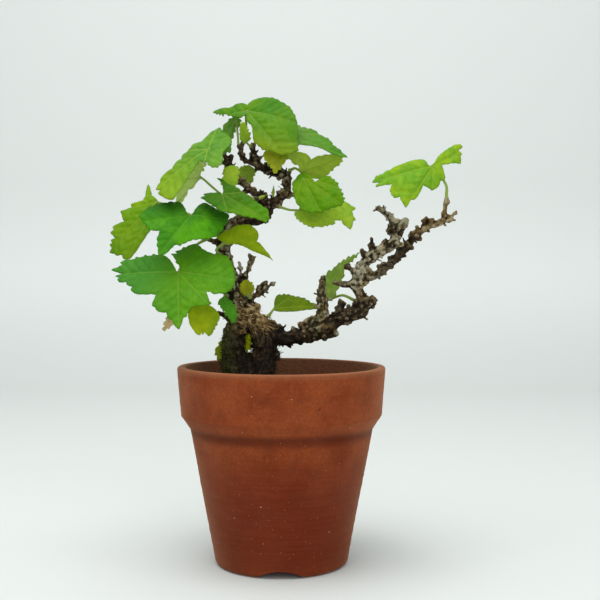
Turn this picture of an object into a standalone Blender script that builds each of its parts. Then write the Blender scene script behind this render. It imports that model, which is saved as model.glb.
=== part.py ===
"""Mulberry bonsai in a small terracotta pot.

Millimetres are used for every size and place below and turned into metres where a mesh is made.
X runs to the viewer's right, Y away from the viewer and Z up. Places are given from the pot's axis.
The origin is on the ground under the middle of the whole tree, so the pot stands at POT_PLACE.
"""
import math
import random
from collections import namedtuple

import bmesh
import bpy
from mathutils import Matrix, Vector
from mathutils.geometry import delaunay_2d_cdt, intersect_point_line

MM = 0.001
GAP = 0.3
MERGE = 0.00002
POT_PLACE = (-1.0, 0.0)

# Pot: a thrown flowerpot about 92 mm across, with a deep collar.
POT_SIDES = 40
RIM_TOP = 87.0
RIM_RADIUS = 46.0
RIM_FOOT_RADIUS = 44.5
RIM_FOOT = 65.1
WALL_TOP_RADIUS = 40.4
WALL_TOP = 59.8
FOOT_RADIUS = 29.7
LIP_WIDTH = 3.6
LIP_ROUND = 1.0
LIP_NARROW = 0.7
WALL = 4.5
FOOT_ROUND = 2.5
FOOT_RING = 5.0
FOOT_SLANT = 1.0
UNDERSIDE = 3.8
FLOOR = 8.8
FLOOR_ROUND = 2.0
DRAIN_RADIUS = 7.0
NOTCHES = 3
NOTCH_WIDTH = 21.0
NOTCH_HEIGHT = 3.4
NOTCH_SIDES = 96

# Drain net over the hole.
NET_SIDE = 26.0
NET_CELLS = 4
NET_BAR = 1.5
NET_THICK = 1.2
NET_CLEAR = 2.0

# Soil.
SOIL_TOP = 76.0
SOIL_RINGS = (33.0, 27.0, 21.0, 15.0, 8.0)
SOIL_SIDES = 36
SOIL_GRAIN = 0.9
SOIL_SEED = 11
SOIL_GAP = 0.45

# Rootstock where it stands in the soil.
ROOT_PLACE = (-15.0, 2.0)
ROOT_BOTTOM = 50.0
ROOT_SHOULDER = 67.0
ROOT_HOLE = 11.05
ROOT_TAPER = 0.6
ROOT_SIDES = 28

# Wood is remeshed from its tubes with this voxel, then reduced to this share of its faces.
WOOD_VOXEL = 0.75
WOOD_SHARE = 0.095
TUBE_RINGS = 2
ROUTE_STEPS = 3
BUD_SEED = 7

# Blades and stalks.
BLADE = 0.7
STALK_RADIUS = 0.62
STALK_GAP = 0.6
TOOTH_PITCH = 5.0
TOOTH_DEPTH = 0.8
BLADE_MESH = 7.0
BLADE_MARGIN = 1.6

# Routes of the wood: points (x, y, z, radius) along the middle of each stem.
ROUTES = {
    "rootstock": [(-15, 2, 50, 5), (-15, 2, 58, 8.6), (-15, 2, 66, 10.2), (-15, 2, 76, 10.4),
                  (-15, 2, 86, 10.3), (-15, 2, 92.4, 8.4)],
    "stump_bridge": [(-20, 2, 105.6, 4.6), (-15, 2, 106, 4.6), (-9, 2, 104.6, 4.6)],
    "left_column_front": [(-20, -2.5, 80, 6), (-21.4, -3, 90, 5.1), (-21.6, -2.5, 97, 4.8),
                          (-20.6, -1.5, 103, 4.6), (-17.5, 0, 109, 5.2)],
    "left_column_back": [(-20, 6.5, 80, 6), (-21.2, 7, 90, 5.0), (-21.4, 6.5, 97, 4.7),
                         (-20.2, 5.5, 103, 4.6), (-17, 4.5, 109, 5.2)],
    "right_column_front": [(-9, -2.5, 80, 6), (-8.3, -2.5, 90, 5.0), (-7.9, -2, 97, 5.0),
                           (-8.6, -1, 103, 5.2), (-12.5, 0, 108.5, 5.4)],
    "right_column_back": [(-9, 6.5, 80, 6), (-8.3, 6.5, 90, 5.0), (-8.2, 6, 97, 5.0),
                          (-9.4, 5, 103, 5.0), (-13, 4.5, 108.5, 5.2)],
    "trunk": [(-14.5, 2, 109, 6.2), (-18.5, 3, 113, 5.4), (-20.5, 4, 118, 4.7), (-22.3, 5, 124, 4.0),
              (-25, 6, 131, 3.7), (-26.3, 6, 138, 3.4), (-25.5, 7, 144.5, 3.2),
              (-22.5, 9, 150, 3.0), (-17.5, 11, 153, 2.8), (-12, 11.5, 152.6, 2.9),
              (-8.2, 9.5, 155, 3.2), (-5.8, 7, 158.5, 3.4)],
    "crown_right": [(-5.8, 7, 158.5, 3.2), (-2.5, 5.5, 161, 2.7), (0.6, 4, 162.8, 2.4),
                    (2.4, 3.5, 166, 2.2), (2.7, 4, 169.8, 2.2), (0.4, 5.5, 172.8, 2.2),
                    (-4, 7, 173.6, 2.2), (-8.5, 8, 175.3, 2.1), (-11.2, 8, 179, 1.7),
                    (-12.8, 8, 183.5, 1.3), (-13.6, 8, 187.2, 0.7)],
    "crown_left": [(-5.8, 7, 158.5, 2.8), (-8.5, 6.2, 161.3, 2.4), (-14, 6, 165.3, 2.0),
                   (-18.5, 7, 169.5, 1.6), (-21.5, 8, 173, 1.5), (-23.5, 8.5, 177, 1.7),
                   (-25.2, 9, 180.6, 1.1)],
    "crown_twig": [(-10.2, 8, 176.6, 1.6), (-16, 9, 178.8, 1.3), (-18.5, 9.5, 181, 1.2),
                   (-18.3, 9.5, 185, 1.0)],
    "crown_side_twig": [(1, 4, 163, 1.4), (4.5, 3.5, 163.3, 1.1), (8.5, 3, 162.4, 0.9)],
    "right_branch": [(-8, 1, 103, 5.6), (-3, 0.5, 100.5, 4.7), (1.5, -1, 99.5, 3.9),
                     (8, -4, 100.3, 3.7), (14, -7, 101.6, 3.8), (18.5, -8, 104.2, 4.4),
                     (25.6, -9, 108.4, 3.4), (31, -10, 110.2, 3.3), (35, -10.5, 111.6, 3.3),
                     (35.6, -11, 115.5, 2.8), (33.4, -12, 120.8, 2.6), (33, -12, 126, 3.0),
                     (34.5, -12.5, 130.5, 2.6), (38, -13, 134, 2.5), (42.7, -14, 137.8, 2.6),
                     (47.8, -14.5, 140.4, 2.8), (49.2, -15, 145.8, 1.9), (48, -16, 150, 1.8),
                     (45, -17, 153.2, 1.5), (42.3, -17.6, 155.2, 1.1), (40.1, -18, 156.4, 0.6)],
    "thin_branch": [(33.5, -11.5, 125.6, 2.2), (39.5, -8.5, 126.6, 2.0), (45, -7.5, 129.9, 1.8),
                    (49.6, -7.5, 134.2, 1.9), (52.6, -8.6, 138, 2.1), (55.2, -10, 141, 1.7),
                    (58.4, -12.5, 144.3, 1.7), (62.6, -14.8, 147.4, 1.3), (69.2, -17, 150.1, 1.0),
                    (74.7, -18.5, 150.7, 0.6)],
    "tip_twig": [(69.2, -17, 150.5, 1.2), (69.8, -18.2, 154.5, 1.0), (70.1, -18.8, 158, 0.9)],
    "tip_fork": [(71, -17.6, 150.2, 0.9), (72.6, -18.2, 151.8, 0.8), (73.9, -18.6, 154.2, 0.5)],
    "branch_stub": [(18.5, -8, 104.5, 3.3), (18.2, -8.5, 111.5, 2.7), (17.8, -8.5, 117, 2.1),
                    (17.5, -8.5, 121.6, 1.5), (18.4, -8.5, 127, 0.7)],
    "stub_low_left": [(33, -12, 123.2, 1.7), (27.5, -13, 123.2, 1.4), (22.2, -14, 124, 0.8)],
    "stub_high_left": [(32.8, -12, 128, 1.4), (27.2, -14, 131.6, 0.7)],
    "bud_cluster": [(25.6, -9, 108.4, 2.2), (25.2, -9.2, 112.5, 1.6), (27, -9.5, 116.4, 1.4)],
    "corner_lump": [(36, -11, 113.2, 2.2), (39, -10.5, 115.6, 2.0), (41.2, -10.5, 117.2, 1.6)],
    "spur_upright": [(40, -13.5, 135.6, 1.4), (38.6, -14, 139, 1.2), (38.8, -14, 142.3, 0.9)],
    "spur_left": [(37, -13, 134, 1.2), (34.2, -14, 138.6, 1.0)],
    "spur_upper": [(45, -14.2, 139, 1.1), (44.3, -14.5, 142.8, 0.8)],
    "bud_lump": [(49, -15.3, 147, 1.8), (52.4, -15.6, 149.3, 2.0), (54, -15.6, 151.6, 1.3)],
    "bud_lump_low": [(49.2, -15.2, 144.6, 1.4), (52.3, -15.4, 145.6, 1.5)],
    "bud_left": [(49.2, -15.2, 145, 1.2), (45.6, -15.6, 147.6, 1.1)],
    "thin_bud_a": [(45, -7.5, 130, 1.4), (41.6, -8.6, 131.4, 0.9)],
    "thin_bud_b": [(56.5, -11, 142, 1.2), (56.2, -11.4, 146.4, 0.8)],
    "thin_bud_c": [(62, -14, 147, 1.0), (61.4, -14.6, 151.6, 1.1)],
    "thin_bud_d": [(58, -12, 143.5, 1.0), (61, -11.4, 142.4, 0.8)],
    "knot_stub": [(18.5, -8, 103, 2.6), (21.5, -8.4, 101.6, 2.0), (24, -8.8, 102.8, 1.4)],
    "spur_fan_a": [(11, -5.5, 101.4, 1.7), (8.3, -6, 106.2, 1.0)],
    "spur_fan_b": [(12, -6, 102, 1.6), (11, -7, 108.3, 1.0)],
    "spur_fan_c": [(13, -6.5, 102.5, 1.4), (14.4, -7.5, 109, 0.9)],
    "under_lump_a": [(12, -6, 100.6, 2.2), (13.4, -6, 97.4, 1.3)],
    "under_lump_b": [(29, -9.6, 109, 2.0), (28.6, -9.6, 105.8, 1.3)],
    "upper_lump": [(6, -3, 101, 1.7), (4.8, -3.4, 104.8, 1.1)],
    "shoulder_spur": [(-3, 0, 102, 1.8), (-0.4, -0.6, 105.6, 1.0)],
    "stump_knob": [(-6, 0, 90.5, 2.6), (-1.2, -1, 91.4, 1.9)],
    "stump_knob_top": [(-2.2, -0.8, 91, 1.5), (-1.2, -1.2, 93.4, 0.9)],
    "top_knob": [(-12.5, 1, 110, 2.2), (-10.2, 0, 114.6, 1.5)],
    "left_stub": [(-22, 3, 107, 2.0), (-26, 2.4, 109.6, 1.3), (-28.2, 2, 110.2, 1.0)],
    "left_spur": [(-22.5, 0, 102, 1.8), (-26, -1, 103.6, 0.9)],
    "twig_a": [(-21, 4, 121, 1.5), (-18.4, 2.4, 127.6, 1.0), (-19.4, 2, 133.6, 0.9)],
    "twig_b": [(-20, 4, 120, 1.9), (-17.4, 3, 125, 1.4), (-14, 2.4, 131.4, 1.4),
               (-11.4, 2, 136, 0.8)],
    "twig_b_fork": [(-14.2, 2.4, 131, 1.1), (-13.4, 2, 136.4, 0.8)],
    "twig_c": [(-16, 3, 113, 2.2), (-12.6, 2, 117.6, 1.7), (-8, 1, 120.8, 1.2), (-2.4, 0, 124.4, 0.5)],
    "twig_c_spur": [(-11, 1.6, 118.6, 1.2), (-8.6, 1.4, 123.2, 1.0), (-6.4, 1, 123.4, 0.9)],
    "trunk_spur_left": [(-26, 6, 140, 1.6), (-30, 3.4, 142.2, 1.2), (-31.8, 1.2, 143, 1.0)],
    "trunk_spur_front": [(-26, 6, 136, 1.6), (-27, 3, 136.4, 1.2)],
    "crown_under_spur": [(-8, 9, 154.4, 1.4), (-6.4, 7.6, 150.9, 0.9)],
    "knot_bud": [(-9, 6.2, 161, 1.5), (-6.8, 5.4, 164.6, 0.9)],
    "leaf_cluster_a": [(-23.5, 8.5, 177, 1.5), (-27, 8.2, 178.4, 1.0)],
    "leaf_cluster_b": [(-23.8, 8.5, 178, 1.4), (-22, 8, 181.6, 0.9)],
    "leaf_cluster_c": [(-23, 8.4, 176, 1.3), (-26, 7.6, 174.4, 0.9)],
}

# Small buds set along these stems by a seeded rule: how many on each.
BUD_ROWS = {
    "right_branch": 30, "thin_branch": 18, "crown_right": 18, "crown_left": 10, "trunk": 14,
    "branch_stub": 5, "crown_twig": 3, "twig_b": 3, "twig_c": 3,
}
BUD_LENGTH = (0.7, 2.4)
BUD_RADIUS = (0.7, 1.3)

# A leaf: where its stalk leaves the wood (root is inside the twig, foot is the end of its cushion), one
# bend of the stalk, then the foot and the tip of the blade. Roll turns the upper face about the midrib
# from facing the viewer. Dome and fold shape the blade. Edge lists its lobe tips and notches as
# (angle from the midrib in degrees, reach in mm).
Leaf = namedtuple("Leaf", "root foot bend base tip roll dome fold tint edge")
LEAVES = {
    "leaf_low_left": Leaf(
        (-30, 3.4, 142.2), (-33, -0.2, 143.4), (-38.5, -2.2, 139.6), (-44.3, -14, 128.6), (-42.3, -28, 104.7),
        0, 0.10, -0.05, "green",
        ((142, 3), (147, 11.5), (126, 16), (114, 20.5), (98, 29), (70, 21.5), (42, 14), (37, 18),
         (16, 20.5), (0, 27.5), (-11, 21), (-36, 21), (-49, 15.5), (-55, 20.5), (-65, 25), (-78, 25.5),
         (-95, 24), (-118, 19), (-140, 15.5), (-175, 11.5), (-196, 9), (-190, 4))),
    "leaf_mid_left": Leaf(
        (-25.5, 7, 146.5), (-28.4, 3.4, 151), (-33, -3, 153.6), (-39.1, -10, 152.9), (-51.1, -24, 135.6),
        10, 0.12, -0.06, "deep",
        ((119, 2), (130, 5.5), (108, 8.5), (87, 13), (72, 18), (47, 22.5), (38, 21.5), (26, 17),
         (12, 20), (0, 25), (-5, 16.5), (-30, 13), (-72, 14), (-100, 14.5), (-126, 16.5), (-153, 12),
         (-173, 9.5), (-182, 5), (-190, 2))),
    "leaf_far_left": Leaf(
        (-25, 7.5, 146), (-28.8, 10, 148.6), (-42, 15, 155), (-56.2, 10, 160.5), (-67.4, -2, 134.4),
        35, 0.08, 0.10, "lime",
        ((150, 6), (125, 12), (107, 9), (80, 15), (68, 19), (46, 18), (48, 24), (32, 25.5),
         (24, 31.5), (8, 29), (0, 31), (-8, 21.5), (-18, 14), (-43, 9), (-90, 7), (-140, 6), (-175, 3))),
    "leaf_upper_left": Leaf(
        (-24.6, 9, 179.4), (-26.6, 6.6, 182.2), (-29, 4.4, 184), (-32.8, 3, 183.5), (-54.5, -8, 164.3),
        35, 0.10, 0.05, "lime",
        ((146, 5.5), (154, 12.5), (147, 19.5), (83, 9.5), (19, 18), (10, 25.5), (0, 31),
         (-18, 30), (-18, 21.5), (-20, 8.5), (-41, 10), (-66, 12), (-88, 9), (-109, 7))),
    "leaf_under_left": Leaf(
        (-15, 6.2, 165.6), (-18.4, 7, 162.6), (-26.6, 9.4, 163.4), (-37.2, 11, 171.9), (-47.5, 6, 159.3),
        140, 0.08, 0.10, "lime",
        ((165, 2), (60, 3), (17, 4), (1, 8.5), (5, 14.5), (0, 17), (-28, 9), (-72, 5),
         (-125, 6.5), (-160, 6.5))),
    "leaf_centre": Leaf(
        (-9, 6, 161.5), (-13, 2.2, 161.4), (-19, -3, 163.6), (-25.9, -7, 162.6), (-5.5, -16, 149.9),
        -25, 0.10, 0.05, "bright",
        ((203, 2), (133, 8.5), (83, 7.5), (29, 10.5), (6, 21.5), (0, 25.5), (-5, 23.5), (-23, 15.5),
         (-57, 10), (-123, 7.5), (-130, 4.5))),
    "leaf_centre_low": Leaf(
        (-26.6, 4, 136.4), (-27.6, 0.6, 136.4), (-28.6, -3.2, 138.6), (-25.3, -4, 141.4),
        (-3.9, -12, 133.8),
        -10, 0.12, 0.0, "olive",
        ((130, 2.5), (60, 3), (-4, 14), (0, 24), (-16, 17.5), (-24, 14.5), (-44, 16), (-60, 14),
         (-72, 11), (-102, 8.5), (-145, 7.5), (-152, 4))),
    "leaf_top": Leaf(
        (-18.4, 9.5, 184.6), (-17.4, 9.2, 188), (-16.2, 9.6, 195), (-16.1, 6, 200.9), (6.8, -6, 193.2),
        -25, 0.22, 0.0, "green",
        ((207, 6), (172, 12.5), (162, 15.5), (139, 8), (95, 5.5), (56, 8), (45, 14.5), (47, 21.5),
         (41, 27.5), (30, 30), (20, 25), (8, 23.5), (0, 27), (-13, 23), (-31, 17.5), (-56, 11.5),
         (-76, 6), (-120, 4))),
    "leaf_top_right": Leaf(
        (-1.5, 6.2, 173.4), (-0.8, 3.6, 177), (1.4, 2.4, 182.6), (-0.2, -1, 188.7), (28.3, -14, 177.9),
        -50, 0.10, 0.0, "green",
        ((150, 3), (80, 4), (32, 6), (14, 11.5), (2, 20), (0, 33), (-10, 28), (-27, 21), (-75, 13),
         (-118, 7.5), (-160, 3))),
    "leaf_hanging": Leaf(
        (-5.4, 7.2, 174), (-5.4, 4.2, 176.8), (-4, 0.5, 182.5), (-1.1, -3, 183.2), (-2.5, -6, 171.4),
        15, 0.12, 0.05, "ochre",
        ((160, 3), (97, 3.5), (76, 6.5), (52, 8), (21, 8.5), (0, 12), (-16, 8.5), (-60, 6.5),
         (-86, 5), (-108, 3), (-160, 2.5))),
    "leaf_right_pale": Leaf(
        (2.2, 4.4, 171), (3.9, 2, 174), (6, 0, 174.6), (9, -2, 173.2), (26, -8, 177.7),
        -140, 0.12, 0.05, "lime",
        ((85, 3), (100, 9.5), (96, 11.5), (66, 9.5), (31, 7.5), (22, 11), (14, 16), (2, 19.5),
         (-16, 14.5), (-37, 12), (-58, 7), (-124, 5), (-170, 3.5))),
    "leaf_right_front": Leaf(
        (7.6, 3.1, 162.7), (9.6, 0.4, 163.8), (9.8, -4, 167), (9.5, -8, 169.5), (17.1, -18, 153.6),
        10, 0.12, 0.12, "bright",
        ((143, 3), (86, 5.5), (44, 10.5), (21, 16.5), (0, 20.5), (-23, 24), (-33, 21.5), (-43, 16.5),
         (-57, 11), (-64, 6), (-90, 3), (-150, 2.5))),
    "leaf_right_low": Leaf(
        (-3.5, 5.6, 159.6), (-0.6, 2.4, 157.6), (3.6, 0, 156.2), (7.7, -4, 155.9), (23.4, -9, 150.3),
        -30, 0.12, 0.0, "lime",
        ((158, 2), (78, 4), (36, 11.5), (6, 17.5), (3, 20.5), (1, 25.5), (-23, 25), (-33, 21.5),
         (-53, 15.5), (-67, 9.5), (-85, 4.5), (-150, 2.5))),
    "leaf_top_back": Leaf(
        (-18.3, 9.6, 184.2), (-19.8, 12.4, 186.2), (-20.4, 15.5, 192), (-21.1, 15.4, 198.3),
        (-27.7, 17, 183.5),
        180, 0.10, 0.05, "deep",
        ((140, 2), (90, 2.5), (23, 3.5), (8, 9), (15, 13), (2, 17.5), (-9, 13), (-35, 7), (-58, 3.5),
         (-150, 2.5))),
    "leaf_young_top": Leaf(
        (-13.1, 8, 184), (-14, 5.2, 185), (-15, 2.6, 185.6), (-15.9, 0, 186.9), (-17.8, -7.5, 195),
        35, 0.05, 0.25, "lime",
        ((150, 1.5), (70, 2.5), (33, 4), (13, 7.5), (0, 9.5), (-13, 8), (-35, 4.5), (-75, 2),
         (-150, 1.5))),
    "leaf_inner_right": Leaf(
        (-9.5, 8, 175.6), (-11.2, 11, 175.6), (-12.6, 12.4, 175.2), (-14.1, 12.9, 174.3),
        (-19.2, 14.4, 168.5),
        170, 0.10, 0.05, "lime",
        ((150, 2.5), (67, 2.5), (40, 5), (2, 8), (-36, 5.5), (-74, 5.5), (-106, 3.5), (-150, 2.5))),
    "leaf_inner_left": Leaf(
        (-23.4, 8.4, 175.6), (-22.8, 5.4, 175.6), (-22.6, 4.4, 175.2), (-22.7, 3, 174.3),
        (-24.2, -1, 164.6),
        0, 0.10, 0.08, "lime",
        ((120, 2.5), (36, 4.5), (17, 9), (0, 10.5), (-17, 10), (-42, 6), (-100, 3.5), (-160, 2.5))),
    "leaf_stump_left": Leaf(
        (-27, 2.2, 110), (-30.4, 0.8, 110.6), (-32.6, -2.6, 112), (-33.5, -6, 112.4), (-35.2, -11, 101.7),
        0, 0.12, 0.05, "olive",
        ((160, 3), (116, 5), (88, 7), (47, 8.5), (4, 12), (-16, 13), (-44, 10), (-61, 7.5), (-110, 2.5),
         (-160, 2))),
    "leaf_stump_front": Leaf(
        (-22, 2.6, 117), (-24.3, -1.4, 118.2), (-25.2, -4, 118), (-25.6, -6, 115.9),
        (-20.5, -10, 106.4),
        15, 0.10, 0.10, "green",
        ((150, 2), (63, 2.5), (17, 5), (0, 11.5), (-16, 10), (-36, 7), (-66, 3), (-140, 2))),
    "leaf_stump_young": Leaf(
        (-13.2, 2.1, 117), (-14.2, -0.6, 117.6), (-14.5, -1.2, 118.4), (-14.9, -1.4, 119.4),
        (-15.3, -3.4, 124.7),
        0, 0.10, 0.15, "olive",
        ((150, 1.5), (94, 2), (52, 4), (18, 5.5), (-4, 6), (-29, 5.5), (-61, 3.5), (-101, 2),
         (-160, 1.5))),
    "leaf_stump_right": Leaf(
        (-9, 0.5, 107.5), (-5.6, -3.6, 109.4), (-4.2, -4.4, 111.2), (-3.3, -3.6, 112.5), (15.4, -3.4, 113.3),
        -40, 0.08, 0.10, "olive",
        ((150, 1.5), (48, 1.5), (10, 10.5), (0, 19.5), (-19, 13), (-45, 10.5), (-80, 7.5), (-97, 3.5),
         (-150, 1.5))),
    "leaf_branch_middle": Leaf(
        (35.4, -11, 115.6), (32, -8.6, 116.2), (27, -3, 118.4), (21.6, 2, 117), (35, -3, 137),
        -45, 0.08, 0.10, "green",
        ((158, 1.5), (60, 2.5), (14, 4.5), (-5, 13), (0, 24.5), (-28, 14.5), (-71, 10), (-136, 4))),
    "leaf_branch_tip": Leaf(
        (70.1, -18.8, 157.4), (70.4, -19, 160.2), (70, -18.6, 166), (64.7, -18, 173.2), (52, -30, 155.3),
        0, 0.12, -0.05, "bright",
        ((59, 2.5), (93, 5), (58, 12.5), (46, 19.5), (36, 29.5), (28, 22.5), (17, 25.5), (0, 25),
         (-7, 15.5), (-9, 11), (-27, 11.5), (-50, 8.5), (-85, 6.5), (-135, 4), (-141, 11),
         (-141, 15.5), (-159, 21), (-171, 16), (-178, 10), (-195, 4))),
    "leaf_stump_back": Leaf(
        (-13, 7, 106), (-13.2, 12.8, 106.4), (-14.4, 16, 105.4), (-16.3, 17, 102.1), (-29.9, 20, 88),
        160, 0.10, 0.08, "olive",
        ((150, 2), (98, 3), (60, 8), (39, 13), (1, 20), (-12, 18), (-32, 10), (-66, 3.5), (-150, 2))),
    "leaf_withered": Leaf(
        (-22.8, 5, 124), (-27.4, 2.2, 123.4), (-36, -6.4, 119.6), (-45.4, -12, 112.2),
        (-50.5, -16, 103.3),
        0, 0.10, 0.25, "dry",
        ((114, 2), (21, 4.5), (0, 11), (-14, 7.5), (-74, 2.5), (-150, 1.5))),
}

# Finishes: linear colour, roughness.
FINISHES = {
    "terracotta": ((0.235, 0.055, 0.025), 0.85),
    "net": ((0.015, 0.015, 0.015), 0.5),
    "soil": ((0.060, 0.035, 0.020), 0.95),
    "bark": ((0.110, 0.075, 0.045), 0.9),
    "green": ((0.080, 0.290, 0.030), 0.5),
    "deep": ((0.040, 0.250, 0.025), 0.5),
    "bright": ((0.110, 0.380, 0.015), 0.5),
    "lime": ((0.230, 0.420, 0.015), 0.5),
    "olive": ((0.190, 0.280, 0.010), 0.5),
    "ochre": ((0.350, 0.330, 0.020), 0.55),
    "dry": ((0.600, 0.330, 0.200), 0.7),
}


def finish(name):
    """A plain Principled material for a finish, made once."""
    material = bpy.data.materials.get(name) or bpy.data.materials.new(name)
    colour, roughness = FINISHES[name]
    material.use_nodes = True
    shader = material.node_tree.nodes["Principled BSDF"]
    shader.inputs["Base Color"].default_value = (*colour, 1.0)
    shader.inputs["Roughness"].default_value = roughness
    shader.inputs["Metallic"].default_value = 0.0
    return material


def add_object(name, mesh, group, material=None, parent=None):
    """Put a mesh in the scene as a named object."""
    thing = bpy.data.objects.new(name, mesh)
    group.objects.link(thing)
    if material:
        thing.data.materials.append(finish(material))
    if parent:
        thing.parent = parent
    return thing


def mesh_of(bm, name):
    """Turn a bmesh in millimetres into a mesh in metres."""
    bmesh.ops.scale(bm, vec=(MM, MM, MM), verts=bm.verts)
    mesh = bpy.data.meshes.new(name)
    bm.to_mesh(mesh)
    bm.free()
    return mesh


def helper(name, mesh, parent):
    """A hidden object that another one is cut or joined with."""
    thing = add_object(name, mesh, bpy.data.collections["cutters"], parent=parent)
    thing.hide_render = True
    thing.display_type = "WIRE"
    return thing


def combine(thing, other, operation, solver="EXACT"):
    """A live Boolean between two objects. MANIFOLD is used where EXACT fails on thin sheets."""
    step = thing.modifiers.new(operation.lower() + "_" + other.name, "BOOLEAN")
    step.operation = operation
    step.object = other
    step.solver = solver
    return step


def solid_of_curve(curve, name):
    """The closed mesh of a bevelled curve, with its caps welded on."""
    holder = bpy.data.objects.new(name, curve)
    bpy.context.scene.collection.objects.link(holder)
    depsgraph = bpy.context.evaluated_depsgraph_get()
    mesh = bpy.data.meshes.new_from_object(holder.evaluated_get(depsgraph))
    bpy.data.objects.remove(holder)
    bm = bmesh.new()
    bm.from_mesh(mesh)
    bmesh.ops.remove_doubles(bm, verts=bm.verts, dist=MERGE)
    bmesh.ops.recalc_face_normals(bm, faces=bm.faces)
    bm.to_mesh(mesh)
    bm.free()
    return mesh


def tube_curve(name, routes, rings):
    """Round stems along routes of (x, y, z, radius), in one curve."""
    curve = bpy.data.curves.new(name, "CURVE")
    curve.dimensions = "3D"
    curve.bevel_depth = MM
    curve.bevel_resolution = rings
    curve.use_fill_caps = True
    for route in routes:
        spline = curve.splines.new("POLY")
        spline.points.add(len(route) - 1)
        for point, (x, y, z, radius) in zip(spline.points, route):
            point.co = (x * MM, y * MM, z * MM, 1.0)
            point.radius = radius
    return curve


def smooth_route(route, steps):
    """Points on a smooth curve through a route's own points."""
    ends = [route[0]] + list(route) + [route[-1]]
    out = []
    for before, start, stop, after in zip(ends, ends[1:], ends[2:], ends[3:]):
        for k in range(steps):
            t = k / steps
            out.append(tuple(
                0.5 * (2 * b + (c - a) * t + (2 * a - 5 * b + 4 * c - d) * t * t
                       + (3 * b - a - 3 * c + d) * t ** 3)
                for a, b, c, d in zip(before, start, stop, after)))
    out.append(tuple(route[-1]))
    return out


def bud_routes(chance):
    """Short stubs that stand off the stems at seeded places."""
    buds = []
    for name, count in BUD_ROWS.items():
        stem = smooth_route(ROUTES[name], ROUTE_STEPS)
        for k in range(count):
            place = (k + chance.random()) / count * (len(stem) - 2)
            first, second = stem[int(place)], stem[int(place) + 1]
            along = (Vector(second[:3]) - Vector(first[:3])).normalized()
            around = Matrix.Rotation(chance.uniform(0, math.tau), 3, along)
            side = around @ along.orthogonal().normalized()
            lean = (side + along * chance.uniform(0.1, 0.6)).normalized()
            start = Vector(first[:3])
            end = start + lean * (first[3] + chance.uniform(*BUD_LENGTH))
            radius = chance.uniform(*BUD_RADIUS)
            buds.append([(*start, radius * 1.2), (*end, radius)])
    return buds


def arc(r, z, radius, first, last, steps=2):
    """Points of a round corner in a turned outline, by angle in degrees from outward."""
    angles = [math.radians(first + (last - first) * k / steps) for k in range(steps + 1)]
    return [(r + radius * math.cos(a), z + radius * math.sin(a)) for a in angles]


def cavity_radius(z):
    """Inner radius of the pot at a height above its floor."""
    if z < WALL_TOP:
        low, high, share = FOOT_RADIUS - WALL, WALL_TOP_RADIUS - WALL, z / WALL_TOP
    else:
        low, high = WALL_TOP_RADIUS - WALL, RIM_RADIUS - LIP_WIDTH
        share = (z - WALL_TOP) / (RIM_TOP - WALL_TOP)
    return low + (high - low) * share


def make_pot(group, root):
    """Turn the pot from its outline, then cut the three notches in its foot."""
    rounded = LIP_ROUND * LIP_NARROW
    outline = arc(RIM_RADIUS - LIP_ROUND, RIM_TOP - LIP_ROUND, LIP_ROUND, 90, 0)
    outline += [(RIM_FOOT_RADIUS, RIM_FOOT), (WALL_TOP_RADIUS, WALL_TOP)]
    outline += arc(FOOT_RADIUS - FOOT_ROUND, FOOT_ROUND, FOOT_ROUND, 0, -90)
    inner_foot = FOOT_RADIUS - FOOT_ROUND - FOOT_RING
    outline += [(inner_foot, 0.0), (inner_foot - FOOT_SLANT, UNDERSIDE), (DRAIN_RADIUS, UNDERSIDE),
                (DRAIN_RADIUS, FLOOR), (cavity_radius(FLOOR) - FLOOR_ROUND, FLOOR),
                (cavity_radius(FLOOR + FLOOR_ROUND), FLOOR + FLOOR_ROUND),
                (cavity_radius(WALL_TOP), WALL_TOP)]
    outline += arc(RIM_RADIUS - LIP_WIDTH + rounded, RIM_TOP - rounded, rounded, 180, 90)
    bm = bmesh.new()
    ring = [bm.verts.new((r, 0.0, z)) for r, z in outline]
    for a, b in zip(ring, ring[1:] + ring[:1]):
        bm.edges.new((a, b))
    pot = add_object("pot", mesh_of(bm, "pot"), group, "terracotta", root)
    turned = pot.modifiers.new("turned", "SCREW")
    turned.steps = turned.render_steps = POT_SIDES
    turned.use_merge_vertices = True
    turned.merge_threshold = MERGE
    turned.use_smooth_shade = False
    radius = (NOTCH_WIDTH ** 2 / 4 + NOTCH_HEIGHT ** 2) / (2 * NOTCH_HEIGHT)
    for k in range(NOTCHES):
        bm = bmesh.new()
        bmesh.ops.create_cone(bm, cap_ends=True, segments=NOTCH_SIDES, radius1=radius, radius2=radius,
                              depth=FOOT_RING * 3)
        bmesh.ops.rotate(bm, verts=bm.verts, cent=(0, 0, 0), matrix=Matrix.Rotation(math.pi / 2, 3, "X"))
        reach = FOOT_RADIUS - FOOT_RING * 0.7
        bmesh.ops.translate(bm, verts=bm.verts, vec=(0, -reach, NOTCH_HEIGHT - radius))
        turn_by = Matrix.Rotation(math.tau * k / NOTCHES, 3, "Z")
        bmesh.ops.rotate(bm, verts=bm.verts, cent=(0, 0, 0), matrix=turn_by)
        notch = helper(f"notch_{k + 1}", mesh_of(bm, "notch"), root)
        combine(pot, notch, "DIFFERENCE")
    return pot


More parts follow.
